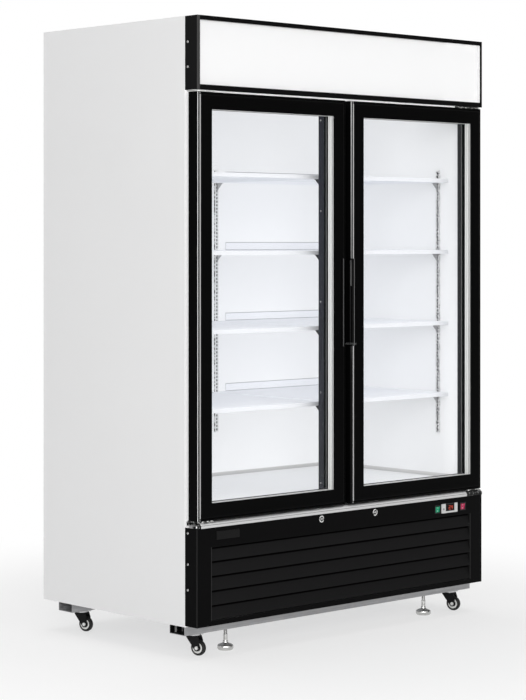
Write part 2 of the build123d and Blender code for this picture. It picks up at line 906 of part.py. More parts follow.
def base_deck():
    """Floor of the machine compartment, open above the two levelling stems."""
    rear = rear_face - sheet
    low = (-skin_inner, body_front + sheet, deck_level)
    deck = block(low, (skin_inner, rear, deck_level + deck_thickness))
    radius = foot_stem_radius + foot_deck_clearance
    top = deck_level + deck_thickness
    for x in (-foot_x, foot_x):
        deck = deck - rod(radius, (x, front_rail_y, deck_level), (x, front_rail_y, top))
    return deck


def rear_grille():
    """Rear cover of the machine compartment with two rows of slots and a cable gland."""
    reach = half_width - rear_flange
    low = deck_level + deck_thickness
    cover = block((-reach, rear_face - sheet, low), (reach, rear_face, body_underside))
    first = -(grille_slot_count - 1) * grille_slot_pitch / 2
    mid = (low + body_underside) / 2
    for row in (-1, 1):
        z = mid + row * (grille_slot_height + grille_row_gap) / 2
        for index in range(grille_slot_count):
            place = Pos(first + grille_slot_pitch * index, rear_face, z)
            cover = cover - place * Box(grille_slot_width, 4 * sheet, grille_slot_height)
    gland_x = reach - gland_inset
    gland_z = low + gland_rise
    start = (gland_x, rear_face - gland_length, gland_z)
    bore = rod(gland_bore, start, (gland_x, rear_face, gland_z))
    gland = rod(gland_radius, start, (gland_x, rear_face, gland_z))
    return cover + gland - bore


def compressor():
    """Welded steel can on a foot plate with rubber mounts and a terminal cover."""
    x = compressor_left - half_width
    y = rear_face - compressor_rear
    foot = deck_level + deck_thickness
    plate_low = foot + compressor_mount_height
    can_low = plate_low + bracket_thickness
    radius = compressor_radius
    height = compressor_height
    profile = [
        (0, 0),
        (radius * 0.72, 0),
        (radius, compressor_shoulder),
        (radius, height * 0.68),
        (radius * 0.8, height * 0.93),
        (radius * 0.35, height),
        (0, height),
    ]
    can = revolve(Plane.XZ * make_face(Polyline(*profile, close=True)), Axis.Z)
    can = Pos(x, y, can_low) * can
    half_x = compressor_plate_width / 2
    half_y = compressor_plate_depth / 2
    plate = block((x - half_x, y - half_y, plate_low), (x + half_x, y + half_y, can_low))
    near = (x + radius * 0.7, y - terminal_width / 2, can_low + terminal_low)
    far = (x + radius + terminal_depth, y + terminal_width / 2, can_low + terminal_high)
    mounts = []
    for dx in (compressor_mount_inset - half_x, half_x - compressor_mount_inset):
        for dy in (compressor_mount_inset - half_y, half_y - compressor_mount_inset):
            seat = (x + dx, y + dy, foot)
            mounts.append(rod(compressor_mount_radius, seat, (x + dx, y + dy, plate_low)))
    return [can + plate + block(near, far)] + mounts


def fan(radius):
    """Axial fan about the Z axis, hub foot at z = 0, bored for the motor shaft."""
    hub = Cylinder(fan_hub_radius, fan_hub_height, align=(Align.CENTER, Align.CENTER, Align.MIN))
    hub = hub - Cylinder(fan_shaft_radius + fan_shaft_fit, 3 * fan_hub_height)
    span = radius - fan_hub_radius + 4
    chord = radius * 0.62
    blade_middle = fan_hub_radius - 4 + span / 2
    blade = Box(span, chord, fan_blade_thickness)
    blade = Pos(blade_middle, 0, fan_hub_height / 2) * Rot(fan_blade_pitch, 0, 0) * blade
    sweep = Cylinder(radius, 4 * fan_hub_height) - Cylinder(fan_hub_radius - 3, 4 * fan_hub_height)
    blade = blade & sweep
    return hub + [Rot(0, 0, 360 / fan_blades * index) * blade for index in range(fan_blades)]


def coil_block(low, high):
    """A coil with tube plates at its ends and fin grooves in its front and rear face."""
    grooves = []
    count = int((high[0] - low[0]) // coil_groove_pitch) - 1
    middle = (low[0] + high[0]) / 2
    for index in range(count):
        x = middle + (index - (count - 1) / 2) * coil_groove_pitch
        near, far = x - coil_groove_width / 2, x + coil_groove_width / 2
        grooves.append(block((near, low[1], low[2]), (far, low[1] + coil_groove_depth, high[2])))
        grooves.append(block((near, high[1] - coil_groove_depth, low[2]), (far, high[1], high[2])))
    return block(low, high) - grooves


def condenser_planes():
    """Front and rear of the coil and the front of the fan, along Y."""
    coil_front = body_front + condenser_setback
    coil_rear = coil_front + condenser_depth
    fan_front = coil_rear + sheet + condenser_fan_gap
    return coil_front, coil_rear, fan_front


def condenser_unit():
    """Finned coil, shroud plate with its orifice, and the motor on its stand."""
    x = condenser_x
    foot = deck_level + deck_thickness
    top = foot + condenser_height
    mid_z = foot + condenser_height / 2
    left = condenser_right - condenser_width
    coil_front, coil_rear, fan_front = condenser_planes()
    coil = coil_block((left, coil_front, foot), (condenser_right, coil_rear, top))
    shroud = block((left, coil_rear, foot), (condenser_right, coil_rear + sheet, top))
    orifice = condenser_fan_radius + fan_orifice_gap
    shroud = shroud - rod(orifice, (x, coil_rear, mid_z), (x, coil_rear + sheet, mid_z))
    motor_front = fan_front + fan_hub_height + motor_gap
    motor_rear = motor_front + motor_length
    motor = rod(motor_radius, (x, motor_front, mid_z), (x, motor_rear, mid_z))
    shaft = rod(fan_shaft_radius, (x, fan_front + fan_floor_gap, mid_z), (x, motor_front, mid_z))
    near = x - motor_bracket
    far = x + motor_bracket
    stand_front = motor_rear - motor_bracket
    stand = block((near, stand_front, foot), (far, stand_front + bracket_thickness, mid_z))
    sole_high = (far, motor_rear + motor_bracket, foot + bracket_thickness)
    sole = block((near, stand_front, foot), sole_high)
    return [coil, shroud, motor + shaft + stand + sole]


def condenser_fan():
    coil_front, coil_rear, fan_front = condenser_planes()
    mid_z = deck_level + deck_thickness + condenser_height / 2
    return Pos(condenser_x, fan_front, mid_z) * Rot(-90, 0, 0) * fan(condenser_fan_radius)


# Evaporator behind the header

def evaporator_levels():
    """Underside of the evaporator cover, its front and the fan line."""
    cover_low = ceiling_level - evaporator_cover_height
    cover_front = back_wall - evaporator_cover_depth
    fan_y = cover_front + evaporator_fan_front
    return cover_low, cover_front, fan_y


def evaporator_cover():
    """White tray under the evaporator: two fan openings and a row of discharge slots."""
    cover_low, cover_front, fan_y = evaporator_levels()
    half = evaporator_half
    box = block((-half, cover_front, cover_low), (half, back_wall, ceiling_level))
    hollow_low = (sheet - half, cover_front + sheet, cover_low + sheet)
    tray = box - block(hollow_low, (half - sheet, back_wall, ceiling_level))
    orifice = evaporator_fan_radius + fan_orifice_gap
    for x in (-evaporator_fan_x, evaporator_fan_x):
        tray = tray - rod(orifice, (x, fan_y, cover_low), (x, fan_y, cover_low + sheet))
    count = int(2 * half // discharge_slot_pitch)
    z = cover_low + discharge_slot_rise
    slots = []
    for index in range(count):
        x = (index - (count - 1) / 2) * discharge_slot_pitch
        slots.append(Pos(x, cover_front, z) * Box(discharge_slot_width, 3 * sheet, discharge_slot_height))
    return tray - slots


def evaporator_unit():
    """Finned coil with two fan motors hung from a bar on its front face."""
    cover_low, cover_front, fan_y = evaporator_levels()
    coil_half = evaporator_half - coil_end_gap
    coil_rear = back_wall - coil_wall_gap
    coil_front = coil_rear - coil_depth
    coil_low = (-coil_half, coil_front, ceiling_level - coil_height)
    coil = coil_block(coil_low, (coil_half, coil_rear, ceiling_level))
    motor_low = cover_low + sheet + fan_floor_gap + fan_hub_height + motor_gap
    bar_low = motor_low + motor_length
    bar_high = bar_low + bracket_thickness
    bar_half = evaporator_fan_x + motor_radius
    near, far = fan_y - motor_bracket, fan_y + motor_bracket
    hanger = block((-bar_half, near, bar_low), (bar_half, far, bar_high))
    shaft_low = cover_low + sheet + 2 * fan_floor_gap
    for x in (-evaporator_fan_x, evaporator_fan_x):
        arm_high = (x + motor_bracket, coil_front, bar_high)
        arm = block((x - motor_bracket, fan_y, bar_low), arm_high)
        motor = rod(motor_radius, (x, fan_y, motor_low), (x, fan_y, bar_low))
        shaft = rod(fan_shaft_radius, (x, fan_y, shaft_low), (x, fan_y, motor_low))
        hanger = hanger + arm + motor + shaft
    return [coil, hanger]


def evaporator_fan(side):
    cover_low, cover_front, fan_y = evaporator_levels()
    place = Pos(side * evaporator_fan_x, fan_y, cover_low + sheet + fan_floor_gap)
    return place * fan(evaporator_fan_radius)


# Rails, castors and feet

def cross_rail(middle_y):
    """Channel across the cabinet, open at the top and at both ends."""
    half = rail_width_across / 2
    wall = rail_wall
    points = [
        (middle_y - half, castor_height),
        (middle_y + half, castor_height),
        (middle_y + half, deck_level),
        (middle_y + half - wall, deck_level),
        (middle_y + half - wall, castor_height + wall),
        (middle_y - half + wall, castor_height + wall),
        (middle_y - half + wall, deck_level),
        (middle_y - half, deck_level),
    ]
    seat = Plane(origin=(-half_width, 0, 0), x_dir=(0, 1, 0), z_dir=(1, 0, 0))
    return prism(seat, points, 2 * half_width)


def cross_rails():
    """Front rail with a nut for each levelling foot, and the plain rear rail."""
    front = cross_rail(front_rail_y)
    nut_low = castor_height + rail_wall
    for side in (-1, 1):
        seat = Plane(origin=(side * foot_x, front_rail_y, nut_low))
        nut = extrude(seat * RegularPolygon(foot_nut_radius, 6), foot_nut_height)
        start = (side * foot_x, front_rail_y, castor_height)
        end = (side * foot_x, front_rail_y, nut_low + foot_nut_height)
        front = front + nut - rod(foot_stem_radius + foot_stem_fit, start, end)
    return [front, cross_rail(rear_rail_y)]


def castor_places():
    """Name and swivel axis of each castor."""
    return [
        ("front_left", -castor_x, front_rail_y),
        ("front_right", castor_x, front_rail_y),
        ("rear_left", -castor_x, rear_rail_y),
        ("rear_right", castor_x, rear_rail_y),
    ]


def castor_plates():
    """Top plates with their ball races, bolted up under the rails, and the nuts above."""
    pieces = []
    plate_low = castor_height - castor_plate_thickness
    race_low = plate_low - castor_race_height
    nut_low = castor_height + rail_wall
    hexagon = RegularPolygon(castor_bolt_radius, 6)
    for name, x, y in castor_places():
        half = castor_plate / 2
        plate = block((x - half, y - half, plate_low), (x + half, y + half, castor_height))
        plate = plate + rod(castor_race_radius, (x, y, race_low), (x, y, plate_low))
        for dx in (-castor_bolt_offset, castor_bolt_offset):
            for dy in (-castor_bolt_offset, castor_bolt_offset):
                head = Plane(origin=(x + dx, y + dy, plate_low), z_dir=(0, 0, -1))
                plate = plate + extrude(head * hexagon, castor_bolt_height)
                nut = Plane(origin=(x + dx, y + dy, nut_low))
                pieces.append(extrude(nut * hexagon, castor_bolt_height))
        pieces.append(plate)
    return pieces


def castor_fork():
    """Swivel fork about the z axis: crown, two tapering cheeks and the axle bolt.
    The wheel trails towards -Y."""
    race_low = castor_height - castor_plate_thickness - castor_race_height
    crown_high = race_low - swivel_gap
    crown_low = crown_high - fork_crown_thickness
    crown = rod(fork_crown_radius, (0, 0, crown_low), (0, 0, crown_high))
    axle = (-castor_trail, wheel_radius)
    inner = wheel_width / 2 + fork_gap
    outer = inner + fork_cheek
    eye = fork_eye_radius
    cheek_points = [
        (-castor_trail - eye, wheel_radius + 2),
        (-castor_trail - eye * 0.9, crown_low - 12),
        (-fork_crown_radius * 0.9, crown_high),
        (fork_crown_radius * 0.9, crown_high),
        (fork_crown_radius * 0.9, crown_low - 3),
        (-castor_trail + eye * 0.75, wheel_radius - eye * 0.6),
    ]
    seat = Plane(origin=(inner, 0, 0), x_dir=(0, 1, 0), z_dir=(1, 0, 0))
    cheek = prism(seat, cheek_points, fork_cheek)
    cheek = cheek + rod(eye, (inner, axle[0], axle[1]), (outer, axle[0], axle[1]))
    body = crown + both_sides(cheek)
    reach = outer + axle_head_height
    bolt = rod(axle_radius, (-reach, axle[0], axle[1]), (reach, axle[0], axle[1]))
    head = rod(axle_head_radius, (outer, axle[0], axle[1]), (reach, axle[0], axle[1]))
    return body + bolt + both_sides(head)


def castor_wheel():
    """Tyre and hub about the x axis of the fork, at its trailing place."""
    half = wheel_width / 2
    crown = 3.5
    bore = axle_radius + axle_fit
    hub_half = hub_width / 2
    tyre_profile = [
        (hub_radius, -half + 1),
        (wheel_radius - crown, -half),
        (wheel_radius - 0.8, -half + crown),
        (wheel_radius, 0),
        (wheel_radius - 0.8, half - crown),
        (wheel_radius - crown, half),
        (hub_radius, half - 1),
    ]
    hub_profile = [
        (bore, -hub_half - 1),
        (bore + 4, -hub_half - 1),
        (bore + 5, -hub_half + 2),
        (hub_radius - 6, -hub_half + 2),
        (hub_radius - 5, -hub_half),
        (hub_radius, -hub_half),
        (hub_radius, hub_half),
        (hub_radius - 5, hub_half),
        (hub_radius - 6, hub_half - 2),
        (bore + 5, hub_half - 2),
        (bore + 4, hub_half + 1),
        (bore, hub_half + 1),
    ]
    turned = []
    for profile in (tyre_profile, hub_profile):
        section = Plane.XZ * make_face(Polyline(*profile, close=True))
        ring = revolve(section, Axis.Z)
        turned.append(Pos(0, -castor_trail, wheel_radius) * Rot(0, 90, 0) * ring)
    return turned


def levelling_foot(side):
    """Plated round foot on its threaded stem, standing on the floor."""
    stem_top = castor_height + rail_wall + foot_nut_height + foot_stem_spare
    profile = [
        (0, 0),
        (foot_radius - foot_edge, 0),
        (foot_radius, foot_rim_low),
        (foot_radius, foot_rim_high),
        (foot_radius - foot_edge, foot_dome_low),
        (foot_collar_radius + foot_edge, foot_dome_high),
        (foot_collar_radius, foot_collar_low),
        (foot_collar_radius, foot_collar_high),
        (foot_stem_radius, foot_stem_low),
        (foot_stem_radius, stem_top),
        (0, stem_top),
    ]
    turned = revolve(Plane.XZ * make_face(Polyline(*profile, close=True)), Axis.Z)
    return Pos(side * foot_x, front_rail_y, 0) * turned


# Doors. Every door piece is drawn for the right-hand door and mirrored for the left.

def door_limits():
    """Meeting edge and hinge edge of the right-hand door."""
    return door_middle_gap / 2, half_width - door_side_inset


def frame_section(width):
    """Door frame extrusion: two rounded nose beads, a flat face, and the pane rebate.
    The first axis runs inward from the door edge, the second from the face to the rear."""
    first = nose_outer_bead
    second = first + nose_groove
    second_end = second + nose_inner_bead
    pocket = width - rebate_depth
    pocket_rear = lip_thickness + 2 * pane_thickness + pane_air_gap + 2 * pane_clearance
    outer_middle = (0.3 * nose_outer_bead, 0.55 * nose_step)
    inner_start = (second, 0.65 * nose_step)
    inner_middle = (second + 0.3 * nose_inner_bead, 0.22 * nose_step)
    outer_bead = ThreePointArc((0, nose_step), outer_middle, (first, nose_crest))
    groove = Polyline((first, nose_crest), (first, nose_step), (second, nose_step), inner_start)
    inner_bead = ThreePointArc(inner_start, inner_middle, (second_end, 0))
    rest = Polyline(
        (second_end, 0),
        (width, 0),
        (width, lip_thickness),
        (pocket, lip_thickness),
        (pocket, pocket_rear),
        (width, pocket_rear),
        (width, door_thickness),
        (0, door_thickness),
        (0, nose_step),
    )
    return make_face(Curve() + [outer_bead, groove, inner_bead, rest])


def mitre(corners):
    """A prism through the door that trims one frame member to its mitred outline."""
    seat = Plane(origin=(0, door_front - 10, 0), x_dir=(1, 0, 0), z_dir=(0, -1, 0))
    outline = make_face(Polyline(*corners, close=True))
    return extrude(seat * outline, -(door_thickness + 20))


def door_frame():
    """Four mitred frame members, bored for the hinge pins and slotted for the lock cam."""
    meeting, hinge = door_limits()
    low, high = door_bottom, door_top
    stile = frame_section(stile_width)
    rail = frame_section(rail_width)
    seats = [
        Plane(origin=(meeting, door_front, low), x_dir=(1, 0, 0), z_dir=(0, 0, 1)),
        Plane(origin=(hinge, door_front, high), x_dir=(-1, 0, 0), z_dir=(0, 0, -1)),
        Plane(origin=(hinge, door_front, low), x_dir=(0, 0, 1), z_dir=(-1, 0, 0)),
        Plane(origin=(meeting, door_front, high), x_dir=(0, 0, -1), z_dir=(1, 0, 0)),
    ]
    in_x0, in_x1 = meeting + stile_width, hinge - stile_width
    in_z0, in_z1 = low + rail_width, high - rail_width
    outlines = [
        [(meeting, low), (in_x0, in_z0), (in_x0, in_z1), (meeting, high)],
        [(hinge, low), (hinge, high), (in_x1, in_z1), (in_x1, in_z0)],
        [(meeting, low), (hinge, low), (in_x1, in_z0), (in_x0, in_z0)],
        [(meeting, high), (in_x0, in_z1), (in_x1, in_z1), (hinge, high)],
    ]
    lengths = [high - low, high - low, hinge - meeting, hinge - meeting]
    sections = [stile, stile, rail, rail]
    members = []
    for seat, section, length, outline in zip(seats, sections, lengths, outlines):
        bar = extrude(seat * section, length, dir=seat.z_dir)
        members.append(bar & mitre(outline))
    pin_bore = hinge_pin_radius + hinge_pin_fit
    depth = hinge_pin_length + 2
    bores = [
        rod(pin_bore, (hinge_pin_x, hinge_pin_y, low), (hinge_pin_x, hinge_pin_y, low + depth)),
        rod(pin_bore, (hinge_pin_x, hinge_pin_y, high - depth), (hinge_pin_x, hinge_pin_y, high)),
    ]
    cam_reach = lock_level + cam_length + cam_slot_clearance
    cam_pocket = cam_slots(low, cam_reach)[1]
    pocket_low = (meeting - 1, door_front - 1, handle_middle - handle_length / 2)
    pocket_high = (meeting + handle_width, door_front + handle_depth, handle_middle + handle_length / 2)
    handle_pocket = block(pocket_low, pocket_high)
    return [member - bores - cam_pocket - handle_pocket for member in members]


def door_glass():
    """Front and rear panes of the sealed unit."""
    meeting, hinge = door_limits()
    inset = rebate_depth - 1.0
    x0 = meeting + stile_width - inset
    x1 = hinge - stile_width + inset
    z0 = door_bottom + rail_width - inset
    z1 = door_top - rail_width + inset
    front = door_front + lip_thickness + pane_clearance
    rear = front + pane_thickness + pane_air_gap
    return [block((x0, y, z0), (x1, y + pane_thickness, z1)) for y in (front, rear)]


def door_spacer():
    """Bright spacer frame between the panes."""
    meeting, hinge = door_limits()
    outset = rebate_depth - spacer_lap
    x0, x1 = meeting + stile_width, hinge - stile_width
    z0, z1 = door_bottom + rail_width, door_top - rail_width
    near = door_front + lip_thickness + pane_clearance + pane_thickness
    far = near + pane_air_gap
    full = block((x0 - outset, near, z0 - outset), (x1 + outset, far, z1 + outset))
    spacer = full - block((x0, near, z0), (x1, far, z1))
    groove_y = (near + far) / 2
    groove = block((x0 - 1, groove_y - 0.8, z0 - 1), (x1 + 1, groove_y + 0.8, z1 + 1))
    return spacer - groove


def gasket_ring(near, far, width, inset):
    """A rectangular ring of the gasket between two depths."""
    meeting, hinge = door_limits()
    x0 = meeting + gasket_meeting_inset + inset
    x1 = hinge - gasket_inset - inset
    z0 = door_bottom + gasket_inset + inset
    z1 = door_top - gasket_inset - inset
    ring = block((x0, near, z0), (x1, far, z1))
    return ring - block((x0 + width, near, z0 + width), (x1 - width, far, z1 - width))


def door_gasket():
    """Magnetic gasket: a broad foot on the door, a narrow neck and a sealing head."""
    far = body_front - gasket_clearance
    middle = (door_rear + far) / 2
    foot = gasket_ring(door_rear, middle - 1.5, gasket_width, 0)
    neck = gasket_ring(middle - 1.5, middle + 1.5, gasket_width - 2 * gasket_lip, gasket_lip)
    head = gasket_ring(middle + 1.5, far, gasket_width, 0)
    return foot + neck + head


def door_handle():
    """Moulded edge pull: a rounded grip bar before a finger scoop open to the gap."""
    meeting, hinge = door_limits()
    wall = handle_wall
    bar_start = handle_bar_inset
    bar_end = bar_start + handle_bar_width
    bar_middle = bar_start + handle_bar_width / 2
    bar_side = handle_bar_depth / 2
    grip_peak = (bar_middle, 0.1 - handle_proud)
    grip = ThreePointArc((bar_start, bar_side), grip_peak, (bar_end, 0))
    scoop_rear = handle_depth - wall
    scoop_floor = handle_width - wall
    outside = Polyline(
        (bar_end, 0),
        (handle_width, 0),
        (handle_width, handle_depth),
        (0, handle_depth),
        (0, scoop_rear),
        (scoop_floor - 8, scoop_rear),
    )
    hollow_middle = (scoop_floor, (scoop_rear + handle_bar_depth) / 2)
    hollow_end = (scoop_floor - 6, handle_bar_depth)
    hollow = ThreePointArc((scoop_floor - 8, scoop_rear), hollow_middle, hollow_end)
    lip = Line((scoop_floor - 6, handle_bar_depth), (bar_middle, handle_bar_depth))
    back_middle = (bar_start + 1, bar_side + 1.9)
    bar_back = ThreePointArc((bar_middle, handle_bar_depth), back_middle, (bar_start, bar_side))
    section = make_face(Curve() + [grip, outside, hollow, lip, bar_back])
    low = handle_middle - handle_length / 2
    seat = Plane(origin=(meeting, door_front, low), x_dir=(1, 0, 0), z_dir=(0, 0, 1))
    pull = extrude(seat * section, handle_length, dir=seat.z_dir)
    ends = []
    for z in (low, low + handle_length - handle_end):
        far = (meeting + handle_width, door_front + handle_depth, z + handle_end)
        ends.append(block((meeting + handle_wall, door_front + nose_step, z), far))
    return pull + ends


def hinge_bracket(plate_low, pin_up):
    """Right-hand hinge bracket: a plate with its pin and a flange on the body front."""
    outer = hinge_pin_x + hinge_plate_end
    front = door_front + 2
    flange_face = body_front - hinge_flange_thickness
    low = (outer - hinge_plate_length, front, plate_low)
    plate = block(low, (outer, body_front, plate_low + hinge_plate_thickness))
    corners = plate.edges().filter_by(Axis.Z).sort_by(Axis.Y)[:2]
    plate = fillet(corners, hinge_plate_corner)
    top = plate_low + hinge_plate_thickness
    if pin_up:
        end = top + hinge_pin_length
        pin = rod(hinge_pin_radius, (hinge_pin_x, hinge_pin_y, top), (hinge_pin_x, hinge_pin_y, end))
        span = (plate_low - hinge_flange_height, plate_low)
    else:
        end = plate_low - hinge_pin_length
        pin = rod(hinge_pin_radius, (hinge_pin_x, hinge_pin_y, end), (hinge_pin_x, hinge_pin_y, plate_low))
        span = (top, top + hinge_flange_height)
    flange = block((low[0], flange_face, span[0]), (outer, body_front, span[1]))
    return plate + pin + flange


def hinge_brackets():
    lower = hinge_bracket(door_bottom - 0.5 - hinge_plate_thickness, True)
    upper = hinge_bracket(door_top + 0.5, False)
    return both_sides(lower) + both_sides(upper)


def save_pair(name, pieces):
    """Write the right-hand pieces and their mirror images as two sub-parts."""
    save(name + "_right", *pieces)
    save(name + "_left", *[mirror(piece, about=Plane.YZ) for piece in pieces])


def main():
    os.makedirs("parts", exist_ok=True)
    save_pair("side_panel", [side_panel()])
    save("back_panel", back_panel())
    save("outer_skins", *outer_skins())
    save("insulation", *insulation())
    save("liner", *liner())
    save("door_surround", *door_surround())
    save("mullion", mullion())
    save("pilasters", *pilasters())
    save("shelf_clips", *shelf_clips())
    save_pair("shelves", [shelf(top) for top in shelf_tops])
    save("canopy_housing", canopy_housing())
    save("sign_panel", sign_panel())
    save("canopy_lamp", *canopy_lamp())
    save("base_cover", base_cover())
    save("base_trim", base_trim())
    save("badge_plate", badge_plate())
    save("cover_screws", *cover_screws())
    save("rocker_frames", rocker_frame(green_rocker_left), rocker_frame(red_rocker_left))
    save("green_rocker", rocker(green_rocker_left))
    save("red_rocker", rocker(red_rocker_left))
    save("thermostat_case", thermostat_case())
    save("thermostat_display", thermostat_display())
    save("thermostat_key", thermostat_key())
    save("lock_barrel_left", *lock_barrel(-1))
    save("lock_barrel_right", *lock_barrel(1))
    save("base_deck", base_deck())
    save("rear_grille", rear_grille())
    save("compressor", *compressor())
    save("condenser_unit", *condenser_unit())
    save("condenser_fan", condenser_fan())
    save("evaporator_cover", evaporator_cover())
    save("evaporator_unit", *evaporator_unit())
    save("evaporator_fan_left", evaporator_fan(-1))
    save("evaporator_fan_right", evaporator_fan(1))
    save("cross_rails", *cross_rails())
    save("castor_plates", *castor_plates())
    fork = castor_fork()
    wheel = castor_wheel()
    for name, x, y in castor_places():
        place = Pos(x, y, 0) * Rot(0, 0, castor_heading)
        save("castor_fork_" + name, place * fork)
        save("castor_wheel_" + name, *[place * ring for ring in wheel])
    save("levelling_foot_left", levelling_foot(-1))
    save("levelling_foot_right", levelling_foot(1))
    save_pair("door_frame", door_frame())
    save_pair("door_glass", door_glass())
    save_pair("door_spacer", [door_spacer()])
    save_pair("door_gasket", [door_gasket()])
    save_pair("door_handle", [door_handle()])
    save("hinge_brackets", *hinge_brackets())


main()
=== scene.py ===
import math
import bpy
import bmesh
from mathutils import Matrix, Vector


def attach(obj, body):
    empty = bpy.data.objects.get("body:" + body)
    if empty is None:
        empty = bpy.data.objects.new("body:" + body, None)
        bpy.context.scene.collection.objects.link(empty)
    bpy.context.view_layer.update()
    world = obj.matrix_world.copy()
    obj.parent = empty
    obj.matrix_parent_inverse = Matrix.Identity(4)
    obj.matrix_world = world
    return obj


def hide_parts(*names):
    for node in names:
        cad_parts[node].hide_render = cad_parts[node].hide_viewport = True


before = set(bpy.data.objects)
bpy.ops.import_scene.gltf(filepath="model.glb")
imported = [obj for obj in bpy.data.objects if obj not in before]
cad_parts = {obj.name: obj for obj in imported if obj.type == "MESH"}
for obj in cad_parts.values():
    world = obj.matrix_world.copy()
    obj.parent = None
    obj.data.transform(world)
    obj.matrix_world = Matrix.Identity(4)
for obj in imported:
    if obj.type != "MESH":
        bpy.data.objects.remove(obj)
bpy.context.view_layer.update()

# Cabinet sheets: two side panels folded round the front and rear edges, the back, the roof, the
# header over the doors and the sill. Steel sheet with a white powder coat that dries in a fine
# orange-peel ripple. They are riveted to each other and foamed in place.
flange_x = 0.668
flange_y = -0.3225


class Wire:
    """A shader socket. Arithmetic on it adds Math nodes to its tree."""

    def __init__(self, tree, socket=None):
        self.tree = tree
        self.socket = socket

    def node(self, kind, settings=None, sockets=None, out=0):
        """Adds a node: its type, its settings, then the values or links of its sockets."""
        made = self.tree.nodes.new(kind)
        for name, value in (settings or {}).items():
            setattr(made, name, value)
        for name, value in (sockets or {}).items():
            if isinstance(value, Wire):
                self.tree.links.new(value.socket, made.inputs[name])
            else:
                made.inputs[name].default_value = value
        return Wire(self.tree, made.outputs[out] if made.outputs else None)

    def math(self, operation, *terms):
        """Adds a Math node on values."""
        return self.node("ShaderNodeMath", {"operation": operation}, dict(enumerate(terms)))

    def vector(self, operation, other, out=0):
        """Adds a Vector Math node on this point and another."""
        return self.node("ShaderNodeVectorMath", {"operation": operation}, {0: self, 1: other}, out)

    def __add__(self, other):
        return self.math("ADD", self, other)

    def __radd__(self, other):
        return self.math("ADD", other, self)

    def __sub__(self, other):
        return self.math("SUBTRACT", self, other)

    def __rsub__(self, other):
        return self.math("SUBTRACT", other, self)

    def __mul__(self, other):
        return self.math("MULTIPLY", self, other)

    def __rmul__(self, other):
        return self.math("MULTIPLY", other, self)

    def __truediv__(self, other):
        return self.math("DIVIDE", self, other)

    def __gt__(self, other):
        return self.math("GREATER_THAN", self, other)

    def __lt__(self, other):
        return self.math("LESS_THAN", self, other)

    def size(self):
        """The value without its sign."""
        return self.math("ABSOLUTE", self)

    def either(self, other):
        """One where this mask or the other is one."""
        return self.math("MAXIMUM", self, other)

    def within(self, low, high):
        """One where the value lies between two others, and nought elsewhere."""
        return (self > low) * (self < high)

    def between(self, first, second):
        """The colour this share of the way from the first to the second. A number is a grey."""
        sockets = {0: self}
        for place, colour in ((6, first), (7, second)):
            if isinstance(colour, (int, float)):
                colour = (colour, colour, colour)
            sockets[place] = colour if isinstance(colour, Wire) else (*colour, 1)
        return self.node("ShaderNodeMix", {"data_type": "RGBA"}, sockets, 2)

    def brightness(self):
        """One value for a colour."""
        return self.node("ShaderNodeRGBToBW", None, {0: self})

    def along(self, axis):
        """One coordinate of a point."""
        return self.node("ShaderNodeSeparateXYZ", None, {0: self}, "XYZ".index(axis))

    def stretched(self, x, y, z):
        """The point with its coordinates multiplied, so that a pattern is drawn out."""
        return self.vector("MULTIPLY", (x, y, z))

    def distance(self, x, y, z):
        """How far the point lies from another one."""
        return self.vector("DISTANCE", (x, y, z), 1)

    def noise(self, scale, detail=2.0, roughness=0.5):
        """Soft random values at this point, from 0 to 1."""
        sockets = {"Vector": self, "Scale": scale, "Detail": detail, "Roughness": roughness}
        return self.node("ShaderNodeTexNoise", None, sockets)

    def cells(self, scale, out=0):
        """Voronoi cells: the distance to the middle of a cell, or its own colour."""
        return self.node("ShaderNodeTexVoronoi", None, {"Vector": self, "Scale": scale}, out)

    def relief(self, depth, strength=1.0):
        """A normal that is tilted as if this value were a height of that depth in metres."""
        sockets = {"Height": self, "Distance": depth, "Strength": strength}
        return self.node("ShaderNodeBump", None, sockets)


def finish(looks, name=None):
    """A material with one Principled shader, whose sockets are filled by looks(place). The place
    is the point on the piece, in metres, in the cabinet's own frame."""
    made = bpy.data.materials.new(name or looks.__name__)
    made.use_nodes = True
    made.node_tree.nodes.clear()
    place = Wire(made.node_tree).node("ShaderNodeTexCoord", out=3)
    shader = place.node("ShaderNodeBsdfPrincipled", None, looks(place))
    place.node("ShaderNodeOutputMaterial", None, {"Surface": shader})
    return made


def surface(colour, roughness, normal=None, specular=0.5, metallic=0.0, glow=None, strength=0.0):
    """The values and links of a Principled shader's sockets."""
    sockets = {"Base Color": colour, "Roughness": roughness}
    sockets.update({"Specular IOR Level": specular, "Metallic": metallic})
    if normal is not None:
        sockets["Normal"] = normal
    if glow is not None:
        sockets.update({"Emission Color": glow, "Emission Strength": strength})
    return sockets


def dress(material, *names):
    """Gives CAD nodes their material."""
    for name in names:
        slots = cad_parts[name].data.materials
        slots.clear()
        slots.append(material)


# Painted light: the front flanges of the side panels, in the gap behind the doors, are given a glow
# so that they look lit.
def white_coat(place):
    ripple = place.noise(900.0, 2.0)
    cloud = place.noise(1.6)
    tint = cloud.between((0.812, 0.812, 0.814), (0.832, 0.832, 0.834))
    flange = (place.along("X").size() > flange_x) * (place.along("Y") < flange_y)
    return surface(
        tint,
        0.42 + cloud * 0.08,
        ripple.relief(0.00012, 0.3),
        specular=0.1,
        glow=flange.between(0, 1),
        strength=0.32,
    )


cabinet_sheets = ("side_panel_left", "side_panel_right", "back_panel", "outer_skins")
dress(finish(white_coat), *cabinet_sheets)

# Foam core: polyurethane poured between the skins and the liner, cream coloured with closed cells.
# It bonds the sheets together and is never seen on a finished cabinet.


def poured_foam(place):
    cells = place.cells(900.0)
    return surface(
        cells.between((0.78, 0.66, 0.36), (0.70, 0.58, 0.30)),
        0.9,
        cells.relief(0.0004, 0.6),
    )


dress(finish(poured_foam), "insulation")
